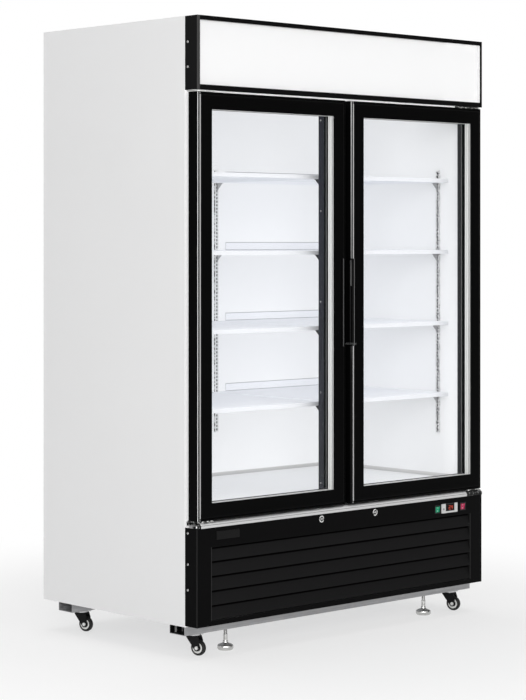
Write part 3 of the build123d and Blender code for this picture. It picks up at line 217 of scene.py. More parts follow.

# Liner and evaporator tray: white coated sheet for the inner walls, floor and ceiling. A cove
# strip is pressed into the corner all round the floor, so that it can be wiped clean; it is
# painted grey, darkest at the floor, as painted shade in that corner. The walls, floor and
# ceiling are given a painted glow for the light of the lamp inside, dimmer toward the front and
# on the floor.
floor_level = 0.465
cove_height = 0.012
seam = 0.0003
top_shelf = 1.530
side_wall_x = 0.632
glow_front, glow_depth = -0.18, 0.3
high_from, high_run = 1.42, 0.2
high_front, high_depth = -0.24, 0.24


def liner_coat(place):
    cloud = place.noise(2.2)
    wall = cloud.between((0.790, 0.797, 0.806), (0.815, 0.820, 0.827))
    height, depth = place.along("Z"), place.along("Y")
    cove = height.within(floor_level + seam, floor_level + cove_height + seam)
    shade = (height - floor_level) / cove_height
    strip = shade.between(0.24, 0.40)
    tint = cove.between(wall, strip)
    side = place.along("X").size() > side_wall_x
    ground = height < floor_level + 0.001
    deep = ((depth - glow_front) / glow_depth).between(0.32, 0.63)
    high = ((height - high_from) / high_run) * ((depth - high_front) / high_depth)
    deep = high.between(deep, 0.69)
    rear = (height > top_shelf).between((0.90, 0.90, 0.905), (0.79, 0.79, 0.795))
    glow = side.between(rear, deep)
    glow = ground.between(glow, 0.38)
    return surface(
        tint,
        0.35 + cloud * 0.1,
        place.noise(30.0, 1.0).relief(0.00010, 0.2),
        specular=0.2,
        glow=glow,
        strength=0.32,
    )


dress(finish(liner_coat), "liner", "evaporator_cover")

# Breaker strips: black PVC profiles that close the wall edge round the opening and stop cold from
# reaching the skin. They clip over the liner and the front flanges, and have a fine drawn grain.


def breaker_strip(place):
    grain = place.noise(900.0, 3.0)
    cloud = place.noise(8.0)
    return surface(
        cloud.between((0.012, 0.012, 0.014), (0.020, 0.020, 0.023)),
        0.4 + grain * 0.15,
        grain.relief(0.00006, 0.4),
        specular=0.3,
    )


dress(finish(breaker_strip), "door_surround")

# Mullion: the upright between the two openings. Folded sheet with a blue-black gloss lacquer, its
# screws driven in from both sides, and a shallow strike groove down its face. The lacquer is
# painted lighter toward the bottom as a painted reflection.
mullion_reflection_rise = 1.3


def mullion_lacquer(place):
    grain = place.noise(500.0)
    low = (place.along("Z") - floor_level) / mullion_reflection_rise
    tint = low.between((0.036, 0.037, 0.045), (0.017, 0.017, 0.028))
    sheen = place.stretched(1.0, 1.0, 0.12).noise(22.0, 3.0)
    return surface(tint, 0.16 + sheen * 0.22, grain.relief(0.00006, 0.25), specular=0.25)


dress(finish(mullion_lacquer), "mullion")

# Slotted strips: shallow zinc-plated channels, punched all the way up with a close row of slots, so
# that the shelf clips hook in at any height. Two stand on each side wall, two on the rear wall and
# two behind the mullion.
strip_width = 0.016
strip_depth = 0.006
strip_sheet = 0.0015
strip_foot = 0.622
strip_length = 0.932
slot_pitch = 0.0125
slot_height = 0.0078
slot_width = 0.0060
wall_x = 0.635
wall_y = 0.313
mullion_y = -0.278
side_zone = 0.6
web_skin = 0.0006
backing_inset = 0.0003
backing_ends = 0.002
backing_depth = (-0.0030, -0.0001)
strip_seats = [
    (wall_x, -0.222, -90),
    (wall_x, 0.205, -90),
    (-wall_x, -0.222, 90),
    (-wall_x, 0.205, 90),
    (-0.048, wall_y, 0),
    (0.048, wall_y, 0),
    (-0.020, mullion_y, 180),
    (0.020, mullion_y, 180),
]


class Form:
    """Points and faces that are gathered into one mesh."""

    def __init__(self):
        self.points = []
        self.faces = []

    def add(self, points, faces, seat=None):
        """Adds a set of points and faces, moved to its seat."""
        first = len(self.points)
        seat = seat or Matrix()
        self.points.extend(seat @ Vector(point) for point in points)
        self.faces.extend(tuple(first + index for index in face) for face in faces)

    def turned(self, profile, seat=None, count=24, lid=False):
        """Adds a solid turned about its Z axis. A radius may be a function of the share round."""
        points = []
        for radius, height in profile:
            for step in range(count):
                angle = 2 * math.pi * step / count
                reach = radius(step / count) if callable(radius) else radius
                points.append((reach * math.cos(angle), reach * math.sin(angle), height))
        faces = []
        for ring in range(len(profile) - 1):
            for step in range(count):
                after = (step + 1) % count
                low, high = ring * count, (ring + 1) * count
                faces.append((low + step, low + after, high + after, high + step))
        if lid:
            faces.append(tuple(range(len(points) - count, len(points))))
        self.add(points, faces, seat)

    def block(self, low, high, seat=None):
        """Adds a rectangular block between two corners."""
        xs, ys, zs = zip(low, high)
        points = [(x, y, z) for z in zs for y in ys for x in xs]
        faces = [(0, 2, 3, 1), (4, 5, 7, 6), (0, 1, 5, 4), (2, 6, 7, 3), (0, 4, 6, 2), (1, 3, 7, 5)]
        self.add(points, faces, seat)

    def mesh(self, name):
        """The gathered mesh, with points that coincide joined and every face turned outward."""
        mesh = bpy.data.meshes.new(name)
        mesh.from_pydata(self.points, [], self.faces)
        work = bmesh.new()
        work.from_mesh(mesh)
        bmesh.ops.remove_doubles(work, verts=work.verts, dist=1e-6)
        bmesh.ops.dissolve_degenerate(work, edges=work.edges, dist=1e-7)
        bmesh.ops.recalc_face_normals(work, faces=work.faces)
        work.to_mesh(mesh)
        work.free()
        return mesh


def piece(name, mesh, material, bevel=0.0, smooth=0.0):
    """Puts a mesh into the scene with its material, its broken edges and its smooth shading."""
    mesh.materials.append(material)
    made = bpy.data.objects.new(name, mesh)
    bpy.context.scene.collection.objects.link(made)
    if bevel:
        edge = made.modifiers.new("broken_edges", "BEVEL")
        edge.width = bevel
        edge.segments = 2
        edge.limit_method = "ANGLE"
    if smooth:
        mesh.shade_smooth()
        mesh.set_sharp_from_angle(angle=math.radians(smooth))
    return made


def slotted_strip(form, seat):
    """One channel with its back to the wall: two flanges, and a web with the slots left open."""
    half = strip_width / 2
    columns = (-half, -slot_width / 2, slot_width / 2, half)
    count = int(strip_length / slot_pitch)
    first = (strip_length - (count - 1) * slot_pitch) / 2
    levels = [0.0]
    for index in range(count):
        middle = first + slot_pitch * index
        levels += [middle - slot_height / 2, middle + slot_height / 2]
    levels.append(strip_length)
    for row, (low, high) in enumerate(zip(levels, levels[1:])):
        for column, (left, right) in enumerate(zip(columns, columns[1:])):
            if column == 1 and row % 2 == 1:
                continue
            web = [(left, -strip_depth, low), (right, -strip_depth, low)]
            web += [(right, -strip_depth, high), (left, -strip_depth, high)]
            form.add(web, [(0, 1, 2, 3)], seat)
        for x in (-half, half):
            flange = [(x, 0, low), (x, -strip_depth, low), (x, -strip_depth, high), (x, 0, high)]
            form.add(flange, [(0, 1, 2, 3) if x < 0 else (3, 2, 1, 0)], seat)


def zinc_plate(place):
    spangle = place.cells(180.0, 1)
    grey = place.noise(40.0)
    body = grey.between((0.66, 0.66, 0.665), (0.80, 0.80, 0.805))
    return surface(
        (0.15 + grey * 0.1).between(body, spangle.brightness()),
        0.35 + grey * 0.2,
        place.noise(300.0).relief(0.0001, 0.3),
        metallic=0.3,
    )


# Painted light: the strips glow a little. On the side walls they are speckled with painted shade
# and highlights, and the flanks of the rear wall strips carry dashes of painted shade.
def strip_plate(place):
    grey = place.noise(60.0, 3.0)
    flank = place.along("Y").within(wall_y - strip_depth + web_skin, wall_y)
    shade_dashes = place.stretched(40.0, 40.0, 150.0).noise(1.0, 2.0) > 0.52
    side_shade = place.along("X").size() > side_zone
    painted_highlight = (place.noise(260.0, 2.0) > 0.47).between((0.20, 0.20, 0.205), (0.66, 0.66, 0.665))
    body = side_shade.between(grey.between((0.74, 0.74, 0.745), (0.86, 0.86, 0.865)), painted_highlight)
    edge = shade_dashes.between(0.60, 0.05)
    tint = flank.between(body, edge)
    return surface(
        tint,
        0.35 + grey * 0.2,
        place.noise(300.0).relief(0.0001, 0.3),
        metallic=0.1,
        glow=tint,
        strength=0.16,
    )


zinc = finish(zinc_plate)
strips = Form()
strip_frames = []
for x, y, turn in strip_seats:
    facing = Matrix.Rotation(math.radians(turn), 4, "Z")
    strip_frames.append(Matrix.Translation((x, y, strip_foot)) @ facing)
for seat in strip_frames:
    slotted_strip(strips, seat)
strip_zinc = finish(strip_plate)
strip_piece = piece("slotted_strips", strips.mesh("slotted_strips"), strip_zinc)
wall = strip_piece.modifiers.new("sheet", "SOLIDIFY")
wall.thickness = strip_sheet
wall.offset = -1.0
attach(strip_piece, "cabinet")
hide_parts("pilasters")


# Painted shade: a black backing inside each channel, behind its web, so that the slots look dark
# with shade.
def slot_shade_backing(place):
    grain = place.noise(300.0)
    return surface(grain.between(0.004, 0.012), 0.8, grain.relief(0.0003, 0.5), specular=0.05)


shade_backings = Form()
inner = strip_width / 2 - strip_sheet - backing_inset
near, far = backing_depth
for seat in strip_frames:
    shade_backings.block((-inner, near, backing_ends), (inner, far, strip_length - backing_ends), seat)
shade_backing = finish(slot_shade_backing)
backing_piece = piece("slot_shade_backings", shade_backings.mesh("slot_shade_backings"), shade_backing, bevel=0.0004)
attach(backing_piece, "cabinet")

# Shelf clips: folded steel, each with a ledge over a triangular gusset, hooked into the slots. Zinc
# plated, painted a darker grey on the side walls as shade, dark at the hooks of the rear wall, and
# painted black behind the mullion as shade.
hook_y = 0.3045
behind_y = -0.20
behind_x = 0.05


def clip_plate(place):
    grain = place.noise(160.0, 3.0)
    hook = place.along("Y") > hook_y
    side_shade = place.along("X").size() > side_zone
    bright = grain.between((0.36, 0.36, 0.365), (0.66, 0.66, 0.67))
    bright = side_shade.between(bright, (0.40, 0.40, 0.405))
    plated = hook.between(bright, 0.02)
    black = grain.between((0.010, 0.010, 0.012), (0.022, 0.022, 0.025))
    behind = (place.along("Y") < behind_y) * (place.along("X").size() < behind_x)
    return surface(
        behind.between(plated, black),
        0.3 + grain * 0.25,
        grain.relief(0.0001, 0.3),
        metallic=0.7 - behind * 0.7,
    )


dress(finish(clip_plate), "shelf_clips")

# Shelves: sheet trays with turned-down edges and an upturned lip at the rear, dipped in a cool
# white epoxy. Each one rests on the ledges of its clips and lifts out. Its faces are given a
# painted glow for the light of the lamp inside, apart from the front edge, which has only a painted
# bright band. The folds of the rear lip and its left ends are painted grey as shade.
shelf_low = 0.768
shelf_pitch = 0.252
lip_y = 0.2885
lip_foot = (0.0001, 0.0022)
lip_brim = (0.0258, 0.0290)
edge_height = 0.0042


def shelf_coat(place):
    cloud = place.noise(3.0)
    facing = place.node("ShaderNodeNewGeometry", out=1)
    upward = facing.along("Z") > 0.5
    rise = place.math("FLOORED_MODULO", place.along("Z") - shelf_low, shelf_pitch)
    rear = place.along("Y") > lip_y
    end = rear * (facing.along("X") < -0.5)
    fold = rear * rise.within(*lip_foot).either(rise.within(*lip_brim))
    coat = cloud.between((0.735, 0.750, 0.785), (0.770, 0.782, 0.810))
    tint = fold.either(end).between(coat, (0.40, 0.40, 0.42))
    flange = (facing.along("Y") < -0.5) * (place.along("Y") < 0)
    edge = (rise < edge_height).between(0, (0.40, 0.40, 0.41))
    glow = upward.between((0.66, 0.67, 0.69), (0.57, 0.575, 0.59))
    glow = flange.between(rear.between(glow, (0.95, 0.96, 0.98)), edge)
    return surface(
        tint,
        0.4 + cloud * 0.1,
        place.noise(40.0, 1.0).relief(0.0001, 0.2),
        specular=0.2,
        glow=fold.either(end).between(glow, 0.2),
        strength=0.28,
    )


dress(finish(shelf_coat), "shelves_left", "shelves_right")

# Canopy: a folded steel light box in black satin powder coat, with a window whose return is painted
# pale as the sign's light reflected in it, brighter on the right. The front is painted darker than
# the rest as shade, and a painted highlight runs down the left end of its front. It is screwed on
# through its sides.
reveal_x = 0.6735
reveal_low = 1.7905
reveal_high = 1.9925
reveal_depth = (0.0012, 0.0122)
bright_from = 0.5
face_y = -0.380
front_skin = 0.004
highlight_skin = 0.0025


def canopy_coat(place):
    grain = place.noise(600.0, 3.0)
    cloud = place.noise(2.0)
    black = cloud.between((0.0070, 0.0070, 0.0072), (0.0095, 0.0095, 0.0098))
    across, height = place.along("X"), place.along("Z")
    depth = place.along("Y") - face_y
    front_black = (depth < front_skin).between(black, (0.0035, 0.0035, 0.0036))
    painted_highlight = (across < -reveal_x) * (depth < highlight_skin)
    coat = painted_highlight.between(front_black, 0.055)
    window = (across.size() < reveal_x) * height.within(reveal_low, reveal_high)
    reveal = window * depth.within(*reveal_depth)
    pale = (across > bright_from).between(0.42, 0.84)
    return surface(
        reveal.between(coat, pale),
        0.34 + grain * 0.12,
        grain.relief(0.00008, 0.3),
        specular=0.03,
    )


dress(finish(canopy_coat), "canopy_housing")

# Sign: a blank opal acrylic sheet behind the window, lit by a fluorescent tube that stands in two
# white holders on the header. Its glow is made stronger toward the right, as painted light.
lit_from, lit_run = -0.6, 1.2
tube_end = 0.59


def opal_sheet(place):
    far_side = (place.along("X") - lit_from) / lit_run
    cloud = place.noise(1.2)
    return surface(
        cloud.between((0.885, 0.885, 0.887), (0.905, 0.905, 0.907)),
        0.3 + cloud * 0.05,
        specular=0.2,
        glow=far_side.between(0.33, 1.25),
        strength=0.06,
    )


def tube_glass(place):
    ends = place.along("X").size() > tube_end
    cloud = place.noise(30.0)
    glass = cloud.between((0.88, 0.89, 0.90), (0.94, 0.94, 0.95))
    return surface(ends.between(glass, 0.62), 0.25 + cloud * 0.1, glow=(1, 1, 1, 1), strength=0.5)


dress(finish(opal_sheet), "sign_panel")
dress(finish(tube_glass), "canopy_lamp")

# Base cover: the pressed front of the machine compartment in the same black coat, with five louvre
# slats that lean out between end cheeks. Air for the condenser is drawn through them. The slats are
# painted lighter for the light they catch, the gaps between them darker as shade, and the cheek
# folds and outer corners carry painted highlight lines.
louvre_x = 0.6212
louvre_low = 0.1195
louvre_high = 0.3495
slat_gap = 0.0128
cheek_fold = (0.6208, 0.6240)
cover_edge = 0.6822


def cover_coat(place):
    grain = place.noise(600.0, 3.0)
    cloud = place.noise(2.0)
    black = cloud.between((0.0030, 0.0030, 0.0031), (0.0045, 0.0045, 0.0047))
    across, height = place.along("X").size(), place.along("Z")
    depth = place.along("Y") - face_y
    rows = height.within(louvre_low, louvre_high)
    field = (across < louvre_x) * rows
    gap = field * (depth > slat_gap)
    fold = (across.within(*cheek_fold) * rows).either(across > cover_edge) * (depth < front_skin)
    slat = grain.between((0.0095, 0.0095, 0.0097), (0.0130, 0.0130, 0.0133))
    coat = gap.between(field.between(black, slat), 0.0008)
    return surface(
        fold.between(coat, 0.026),
        0.34 + grain * 0.12,
        grain.relief(0.00008, 0.3),
        specular=0.02,
    )


dress(finish(cover_coat), "base_cover")

# Trim strip: an anodised aluminium profile along the top of the base cover, brushed lengthwise,
# with a bevel below the doors and slots that the lock cams rise through. A dark line is painted
# along the crease of the bevel as shade, and both ends are painted dark as shade by the hinge
# brackets, with bright specks as painted glints.
trim_shaded_ends = (-0.668, 0.602)
trim_crease = (0.4188, 0.4206)


def brushed_trim(place):
    lines = place.stretched(3.0, 1800.0, 1800.0).noise(1.0)
    cloud = place.stretched(1.0, 6.0, 6.0).noise(9.0, 3.0)
    crease = place.along("Z").within(*trim_crease)
    metal_and_highlight = (lines * 0.5 + cloud * 0.5).between(0.62, 0.90)
    across = place.along("X")
    shaded_ends = (across < trim_shaded_ends[0]).either(across > trim_shaded_ends[1])
    shade_and_glints = (place.noise(150.0, 3.0) > 0.58).between(0.012, 0.26)
    return surface(
        shaded_ends.between(crease.between(metal_and_highlight, 0.30), shade_and_glints),
        0.24 + lines * 0.16,
        lines.relief(0.00004, 0.4),
        metallic=0.85,
    )


dress(finish(brushed_trim), "base_trim")

# Plate: a bare aluminium plate with rounded corners at the upper left of the base cover, anodised
# dark and glued on. Nothing is printed on it.


def dark_anodised(place):
    lines = place.stretched(8.0, 1500.0, 1500.0).noise(1.0)
    return surface(
        lines.between(0.006, 0.014),
        0.3 + lines * 0.15,
        lines.relief(0.00003, 0.4),
        specular=0.1,
        metallic=0.5,
    )


dress(finish(dark_anodised), "badge_plate")

# Screws: zinc-plated pan heads with a cross recess. Five hold the covers on each side, and five
# more are driven into each side of the mullion.
cover_side = 0.684
cover_screw_y = -0.336
cover_screw_levels = (0.2175, 0.2975, 0.3945, 1.847, 1.925)
mullion_side = 0.040
mullion_screw_y = -0.289
mullion_screw_levels = [0.498 + 0.302 * index for index in range(5)]
head_radius = 0.004
head_height = 0.001


def bright_plating(place):
    cloud = place.noise(90.0)
    return surface(
        cloud.between((0.34, 0.34, 0.335), (0.52, 0.52, 0.515)),
        0.2 + cloud * 0.15,
        place.noise(700.0).relief(0.00003, 0.3),
        metallic=1.0,
    )


def pan_head():
    """One screw head of full size, its foot at z = 0, with the cross cut out of it."""
    profile = [(0, 0), (1, 0), (1, 0.35), (0.86, 0.72), (0.55, 0.93), (0, 1)]
    head = Form()
    profile = [(radius * head_radius, height * head_height) for radius, height in profile]
    head.turned(profile, count=20)
    body = bpy.data.objects.new("pan_head", head.mesh("pan_head"))
    arm, slot = head_radius * 0.62, head_radius * 0.15
    low, high = head_height * 0.3, head_height * 1.5
    cutters = []
    for x, y in ((arm, slot), (slot, arm)):
        bar = Form()
        bar.block((-x, -y, low), (x, y, high))
        cutters.append(bpy.data.objects.new("cross_bar", bar.mesh("cross_bar")))
    for item in [body] + cutters:
        bpy.context.scene.collection.objects.link(item)
    for cutter in cutters:
        cut = body.modifiers.new("recess", "BOOLEAN")
        cut.operation = "DIFFERENCE"
        cut.object = cutter
    bpy.context.view_layer.update()
    view = bpy.context.evaluated_depsgraph_get()
    cut_mesh = bpy.data.meshes.new_from_object(body.evaluated_get(view))
    for item in [body] + cutters:
        bpy.data.objects.remove(item)
    points = [tuple(vertex.co) for vertex in cut_mesh.vertices]
    faces = [tuple(face.vertices) for face in cut_mesh.polygons]
    bpy.data.meshes.remove(cut_mesh)
    return points, faces


plating = finish(bright_plating)
head_points, head_faces = pan_head()
screws = Form()
screw_seats = [(cover_side, cover_screw_y, z, 1.0) for z in cover_screw_levels]
screw_seats += [(mullion_side, mullion_screw_y, z, 0.75) for z in mullion_screw_levels]
for x, y, z, scale in screw_seats:
    for side in (-1, 1):
        turn = Matrix.Rotation(math.radians(90 * side), 4, "Y") @ Matrix.Rotation(z * 40, 4, "Z")
        grow = Matrix.Diagonal((scale, scale, 1, 1))
        screws.add(head_points, head_faces, Matrix.Translation((side * x, y, z)) @ turn @ grow)
screw_piece = piece("screw_heads", screws.mesh("screw_heads"), plating, smooth=35)
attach(screw_piece, "cabinet")
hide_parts("cover_screws")

# Switches: two rocker switches in black bezels, one with a green and one with a red translucent
# paddle. A white bar and a ring are printed for on and off. They snap into the cover.
control_level = 0.3775
green_middle = 0.4485
red_middle = 0.5815
mark_rise = 0.0055
bar_size = (0.0006, 0.0026)
ring_size = (0.0014, 0.0022)


def moulded_black(place):
    grain = place.noise(1500.0, 3.0)
    cloud = place.noise(8.0)
    return surface(
        cloud.between((0.0045, 0.0045, 0.005), (0.008, 0.008, 0.0085)),
        0.34 + grain * 0.15,
        grain.relief(0.00006, 0.4),
        specular=0.3,
    )


def paddle(middle, deep, pale, glow):
    """The look of one paddle: its colours, its two marks, and how it glows."""

    def looks(place):
        cloud = place.noise(140.0, 3.0)
        across = (place.along("X") - middle).size()
        up = place.along("Z") - control_level
        bar = (across < bar_size[0]) * ((up - mark_rise).size() < bar_size[1])
        ring_up = up + mark_rise
        ring = place.math("SQRT", across * across + ring_up * ring_up).within(*ring_size)
        return surface(
            bar.either(ring).between(cloud.between(deep, pale), 0.6),
            0.2 + cloud * 0.1,
            specular=0.2,
            glow=(*glow, 1),
            strength=0.05,
        )

    return looks


black_plastic = finish(moulded_black)
dress(black_plastic, "rocker_frames")
green = paddle(green_middle, (0.0, 0.14, 0.06), (0.01, 0.38, 0.20), (0, 0.5, 0.25))
red = paddle(red_middle, (0.22, 0.005, 0.03), (0.60, 0.04, 0.13), (0.6, 0.05, 0.1))
dress(finish(green, "green_paddle"), "green_rocker")
dress(finish(red, "red_paddle"), "red_rocker")

# Thermostat: a pale ABS bezel round a smoked window, with two red numerals lit behind it and one
# key at its left. The case clips into the cover from the front.
display_face = -0.379
digit_proud = 0.0002
digit_gap = 0.0003
digit_bottom = 0.3725
digit_height = 0.0136
digit_width = 0.0078
digit_bar = 0.0014
digit_lefts = (0.5065, 0.5190)
numerals = ("ABDEG", "BCFG")
point_place = (0.5158, 0.3725)
window_x = (0.4895, 0.5365)
window_top = 0.3912


def pale_moulding(place):
    grain = place.noise(1200.0)
    pale = place.noise(30.0).between((0.56, 0.56, 0.555), (0.62, 0.62, 0.615))
    brow = place.along("X").within(*window_x) * (place.along("Z") > window_top)
    return surface(brow.between(pale, 0.02), 0.4, grain.relief(0.00005, 0.4), specular=0.3)


def key_moulding(place):
    grain = place.noise(900.0)
    return surface(grain.between(0.20, 0.28), 0.45 + grain * 0.1)


def smoked_window(place):
    cloud = place.noise(60.0)
    return surface(
        cloud.between((0.003, 0.001, 0.001), (0.006, 0.002, 0.002)),
        0.1 + cloud * 0.05,
        specular=0.1,
    )


def lit_numeral(place):
    cloud = place.noise(400.0)
    return surface(
        (0.5, 0.03, 0.01, 1),
        0.4 + cloud * 0.1,
        glow=cloud.between((0.70, 0.04, 0.015), (1.0, 0.12, 0.03)),
        strength=0.9,
    )


def numeral_bars(left):
    """The seven bars of one numeral, each a low and a high corner across and up."""
    right, low, high = left + digit_width, digit_bottom, digit_bottom + digit_height
    middle = (low + high) / 2
    half = digit_bar / 2
    return {
        "A": ((left, high - digit_bar), (right, high)),
        "B": ((right - digit_bar, middle), (right, high)),
        "C": ((right - digit_bar, low), (right, middle)),
        "D": ((left, low), (right, low + digit_bar)),
        "E": ((left, low), (left + digit_bar, middle)),
        "F": ((left, middle), (left + digit_bar, high)),
        "G": ((left, middle - half), (right, middle + half)),
    }


dress(finish(pale_moulding), "thermostat_case")
dress(finish(key_moulding), "thermostat_key")
dress(finish(smoked_window), "thermostat_display")
lit = Form()
front = display_face - digit_proud
for left, lit_bars in zip(digit_lefts, numerals):
    bars = numeral_bars(left)
    for letter in lit_bars:
        low, high = bars[letter]
        low = (low[0] + digit_gap, front, low[1] + digit_gap)
        lit.block(low, (high[0] - digit_gap, display_face, high[1] - digit_gap))
point_x, point_z = point_place
lit.block((point_x, front, point_z), (point_x + digit_bar, display_face, point_z + digit_bar))
# The bars overlap at their corners, so their points are left apart.
numeral_mesh = bpy.data.meshes.new("lit_numerals")
numeral_mesh.from_pydata(lit.points, [], lit.faces)
numeral_piece = piece("lit_numerals", numeral_mesh, finish(lit_numeral))
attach(numeral_piece, "cabinet")

# Locks: nickel-plated cam locks, one for each door, with a plug and its keyway in a face ring. The
# plug and the ring are painted in bright and dark patches as reflections, and the keyway and the
# groove round the plug are painted dark as shade. A nut behind the cover holds each barrel, and the
# key turns the cam up into the door.
lock_x = 0.129
lock_level = 0.395
lock_groove = (0.0046, 0.0079)
keyway_half = 0.0012


def lock_plating(side):
    """One lock's look: painted reflections on plug and ring, painted shade in recesses."""

    def looks(place):
        reach = place.stretched(1, 0, 1).distance(side * lock_x, 0, lock_level)
        cloud = place.noise(140.0, 3.0)
        ring = (cloud > 0.47).between(0.02, (0.95, 0.95, 0.94))
        keyway = (place.along("X") - side * lock_x).size() < keyway_half
        plug = keyway.either(cloud < 0.45).between((0.80, 0.80, 0.79), 0.004)
        metal_and_highlight = (reach < lock_groove[0]).between(ring, plug)
        return surface(
            reach.within(*lock_groove).between(metal_and_highlight, 0.004),
            0.16 + cloud * 0.14,
            metallic=0.9,
        )

    return looks


for name, side in (("left", -1), ("right", 1)):
    dress(finish(lock_plating(side), "lock_plating_" + name), "lock_barrel_" + name)

# Door frames: black extruded members, mitred at the corners. Two rounded beads run down the outer
# edge; on the left edge of each door they are painted pale as thin highlight lines, the outer one
# fading toward the bottom on the right door. A lip lines the opening in front of the glass and is
# painted pale as light on it, and a grey joint runs round behind it.
door_hinge_x = 0.681
door_meeting_x = 0.013
stile = 0.060
outer_bead = (-0.001, 0.0026)
inner_bead = (0.0084, 0.0120)
bead_depth = 0.0040
lit_height = 0.9
lip_depth = (0.0013, 0.0053)
joint_depth = (0.0385, 0.0430)
left_joint = 0.007
opening_x = (0.073, 0.621)
opening_z = (0.487, 1.715)


def frame_skin(place):
    lines = place.stretched(900.0, 900.0, 6.0).noise(1.0)
    cloud = place.noise(2.5)
    black = cloud.between((0.0017, 0.0017, 0.0018), (0.0028, 0.0028, 0.0029))
    across, height = place.along("X"), place.along("Z")
    depth = place.along("Y") - face_y
    hinge_side = across < -door_meeting_x - stile
    from_edge = across - (hinge_side * (-door_hinge_x - door_meeting_x) + door_meeting_x)
    outer = from_edge.within(*outer_bead) * (depth < bead_depth)
    inner = from_edge.within(*inner_bead) * (depth < bead_depth)
    fade = hinge_side.either((height - lit_height) / lit_height)
    width = across.size().within(opening_x[0] - seam, opening_x[1] + seam)
    opening = width * height.within(opening_z[0] - seam, opening_z[1] + seam)
    lip = opening * depth.within(*lip_depth)
    joint = (depth + (across < 0) * left_joint).within(*joint_depth) * width
    metal_and_highlight = outer.between(0.42, fade.between(0.01, 0.78))
    skin = joint.between(black, 0.16)
    return surface(
        lip.between(outer.either(inner).between(skin, metal_and_highlight), (0.66, 0.66, 0.65)),
        0.3 + lines * 0.08,
        lines.relief(0.00002, 0.25),
        specular=0.02,
    )


dress(finish(frame_skin), "door_frame_left", "door_frame_right")

# Glass: sealed units of two clear panes, faintly green and hardly seen from the front. Each unit
# is bedded in the rebate of its door frame.


def clear_pane(place):
    cloud = place.noise(1.5)
    return {
        "Base Color": (0.010, 0.018, 0.016, 1),
        "Roughness": 0.02 + cloud * 0.01,
        "Alpha": 0.030 + cloud * 0.012,
        "Specular IOR Level": 0.5,
    }


dress(finish(clear_pane), "door_glass_left", "door_glass_right")

# Spacers: rolled aluminium frames between the panes, with a pale powder coat and a groove down the
# middle, which is painted darker than the flanks as shade.
spacer_groove = (0.0142, 0.0225)


def spacer_metal(place):
    lines = place.stretched(20.0, 3000.0, 20.0).noise(1.0)
    depth = place.along("Y") - face_y
    body = lines.between((0.74, 0.74, 0.72), (0.82, 0.82, 0.80))
    flank = (depth < spacer_groove[0]).either(depth > spacer_groove[1])
    return surface(
        flank.between(body, (0.92, 0.92, 0.90)),
        0.45,
        lines.relief(0.00005, 0.3),
        metallic=0.15,
    )


dress(finish(spacer_metal), "door_spacer_left", "door_spacer_right")

# Gaskets: soft black PVC with a magnet inside. The broad foot clips into the back of the door, and
# the narrow neck lets the sealing head pull up against the cabinet.


def gasket_rubber(place):
    grain = place.noise(800.0)
    return surface(grain.between(0.006, 0.012), 0.7, grain.relief(0.0001, 0.5), specular=0.15)


dress(finish(gasket_rubber), "door_gasket_left", "door_gasket_right")

# Edge pulls: black moulded grips let into the meeting edge of each door, and held by a small clip.
# The crest, the rim and the hollow are painted grey as highlights, and a few bright dots low on the
# right pull are painted glints.
pull_front = -0.3765
crest_x = (0.0248, 0.0290)
rim_x = (-0.0275, -0.0185)
hollow_x = (0.0318, 0.0345)
hollow_y = -0.3620
hollow_low = 1.155
clip_levels = (0.9600, 0.9660)


def pull_moulding(place):
    grain = place.noise(1100.0, 3.0)
    cloud = place.noise(8.0)
    black = cloud.between((0.0010, 0.0010, 0.0011), (0.0022, 0.0022, 0.0024))
    across, depth, height = place.along("X"), place.along("Y"), place.along("Z")
    crest = (depth < pull_front) * across.within(*crest_x)
    rim = (depth < pull_front) * across.within(*rim_x)
    hollow = across.within(*hollow_x) * (depth > hollow_y) * (height > hollow_low)
    clip = (across > 0) * height.within(*clip_levels) * (grain > 0.5)
    tint = crest.either(hollow).either(clip).between(black, 0.13)
    return surface(
        rim.between(tint, (0.072, 0.072, 0.073)),
        0.22 + grain * 0.1,
        grain.relief(0.00004, 0.3),
        specular=0.03,
    )


dress(finish(pull_moulding), "door_handle_left", "door_handle_right")

# Hinge brackets: plated steel plates with a pin, one above and one below each door, screwed to the
# body front through their flanges. The upper left one is painted bright as lit, and the others are
# painted dark as shade, with painted glints.
bracket_middle = 1.0


def hinge_plating(place):
    grain = place.noise(150.0, 3.0)
    pale = (place.along("Z") > bracket_middle) * (place.along("X") < 0.0)
    painted_highlight = (grain > 0.55).between(0.010, (0.70, 0.70, 0.69))
    bright = grain.between(0.45, (0.95, 0.95, 0.94))
    return surface(
        pale.between(painted_highlight, bright),
        0.25 + grain * 0.15,
        grain.relief(0.0001, 0.3),
        metallic=0.2,
    )


dress(finish(hinge_plating), "hinge_brackets")

# Machine compartment: a galvanised deck and a slotted rear cover with a cable gland. The zinc has
# frozen in broad spangles.


def galvanised_sheet(place):
    spangle = place.cells(90.0, 1)
    grey = spangle.brightness()
    return surface(
        grey.between((0.40, 0.41, 0.43), (0.58, 0.59, 0.61)),
        0.34 + grey * 0.2,
        place.noise(200.0).relief(0.0001, 0.3),
        metallic=0.8,
    )


dress(finish(galvanised_sheet), "base_deck", "rear_grille")

# Compressor: a welded steel can in black lacquer, on a foot plate with rubber mounts, with a
# moulded terminal cover at its side.


def can_lacquer(place):
    cloud = place.noise(20.0)
    return surface(cloud.between(0.008, 0.016), 0.3 + cloud * 0.1, cloud.relief(0.0006, 0.3))


dress(finish(can_lacquer), "compressor")

# Coils: packs of thin aluminium fins between tube plates, one behind the louvres and one over the
# evaporator tray. Air is blown through between the fins. The fins are painted as pale stripes on
# the pack, with dark painted shade between them.
fin_half = 0.0012


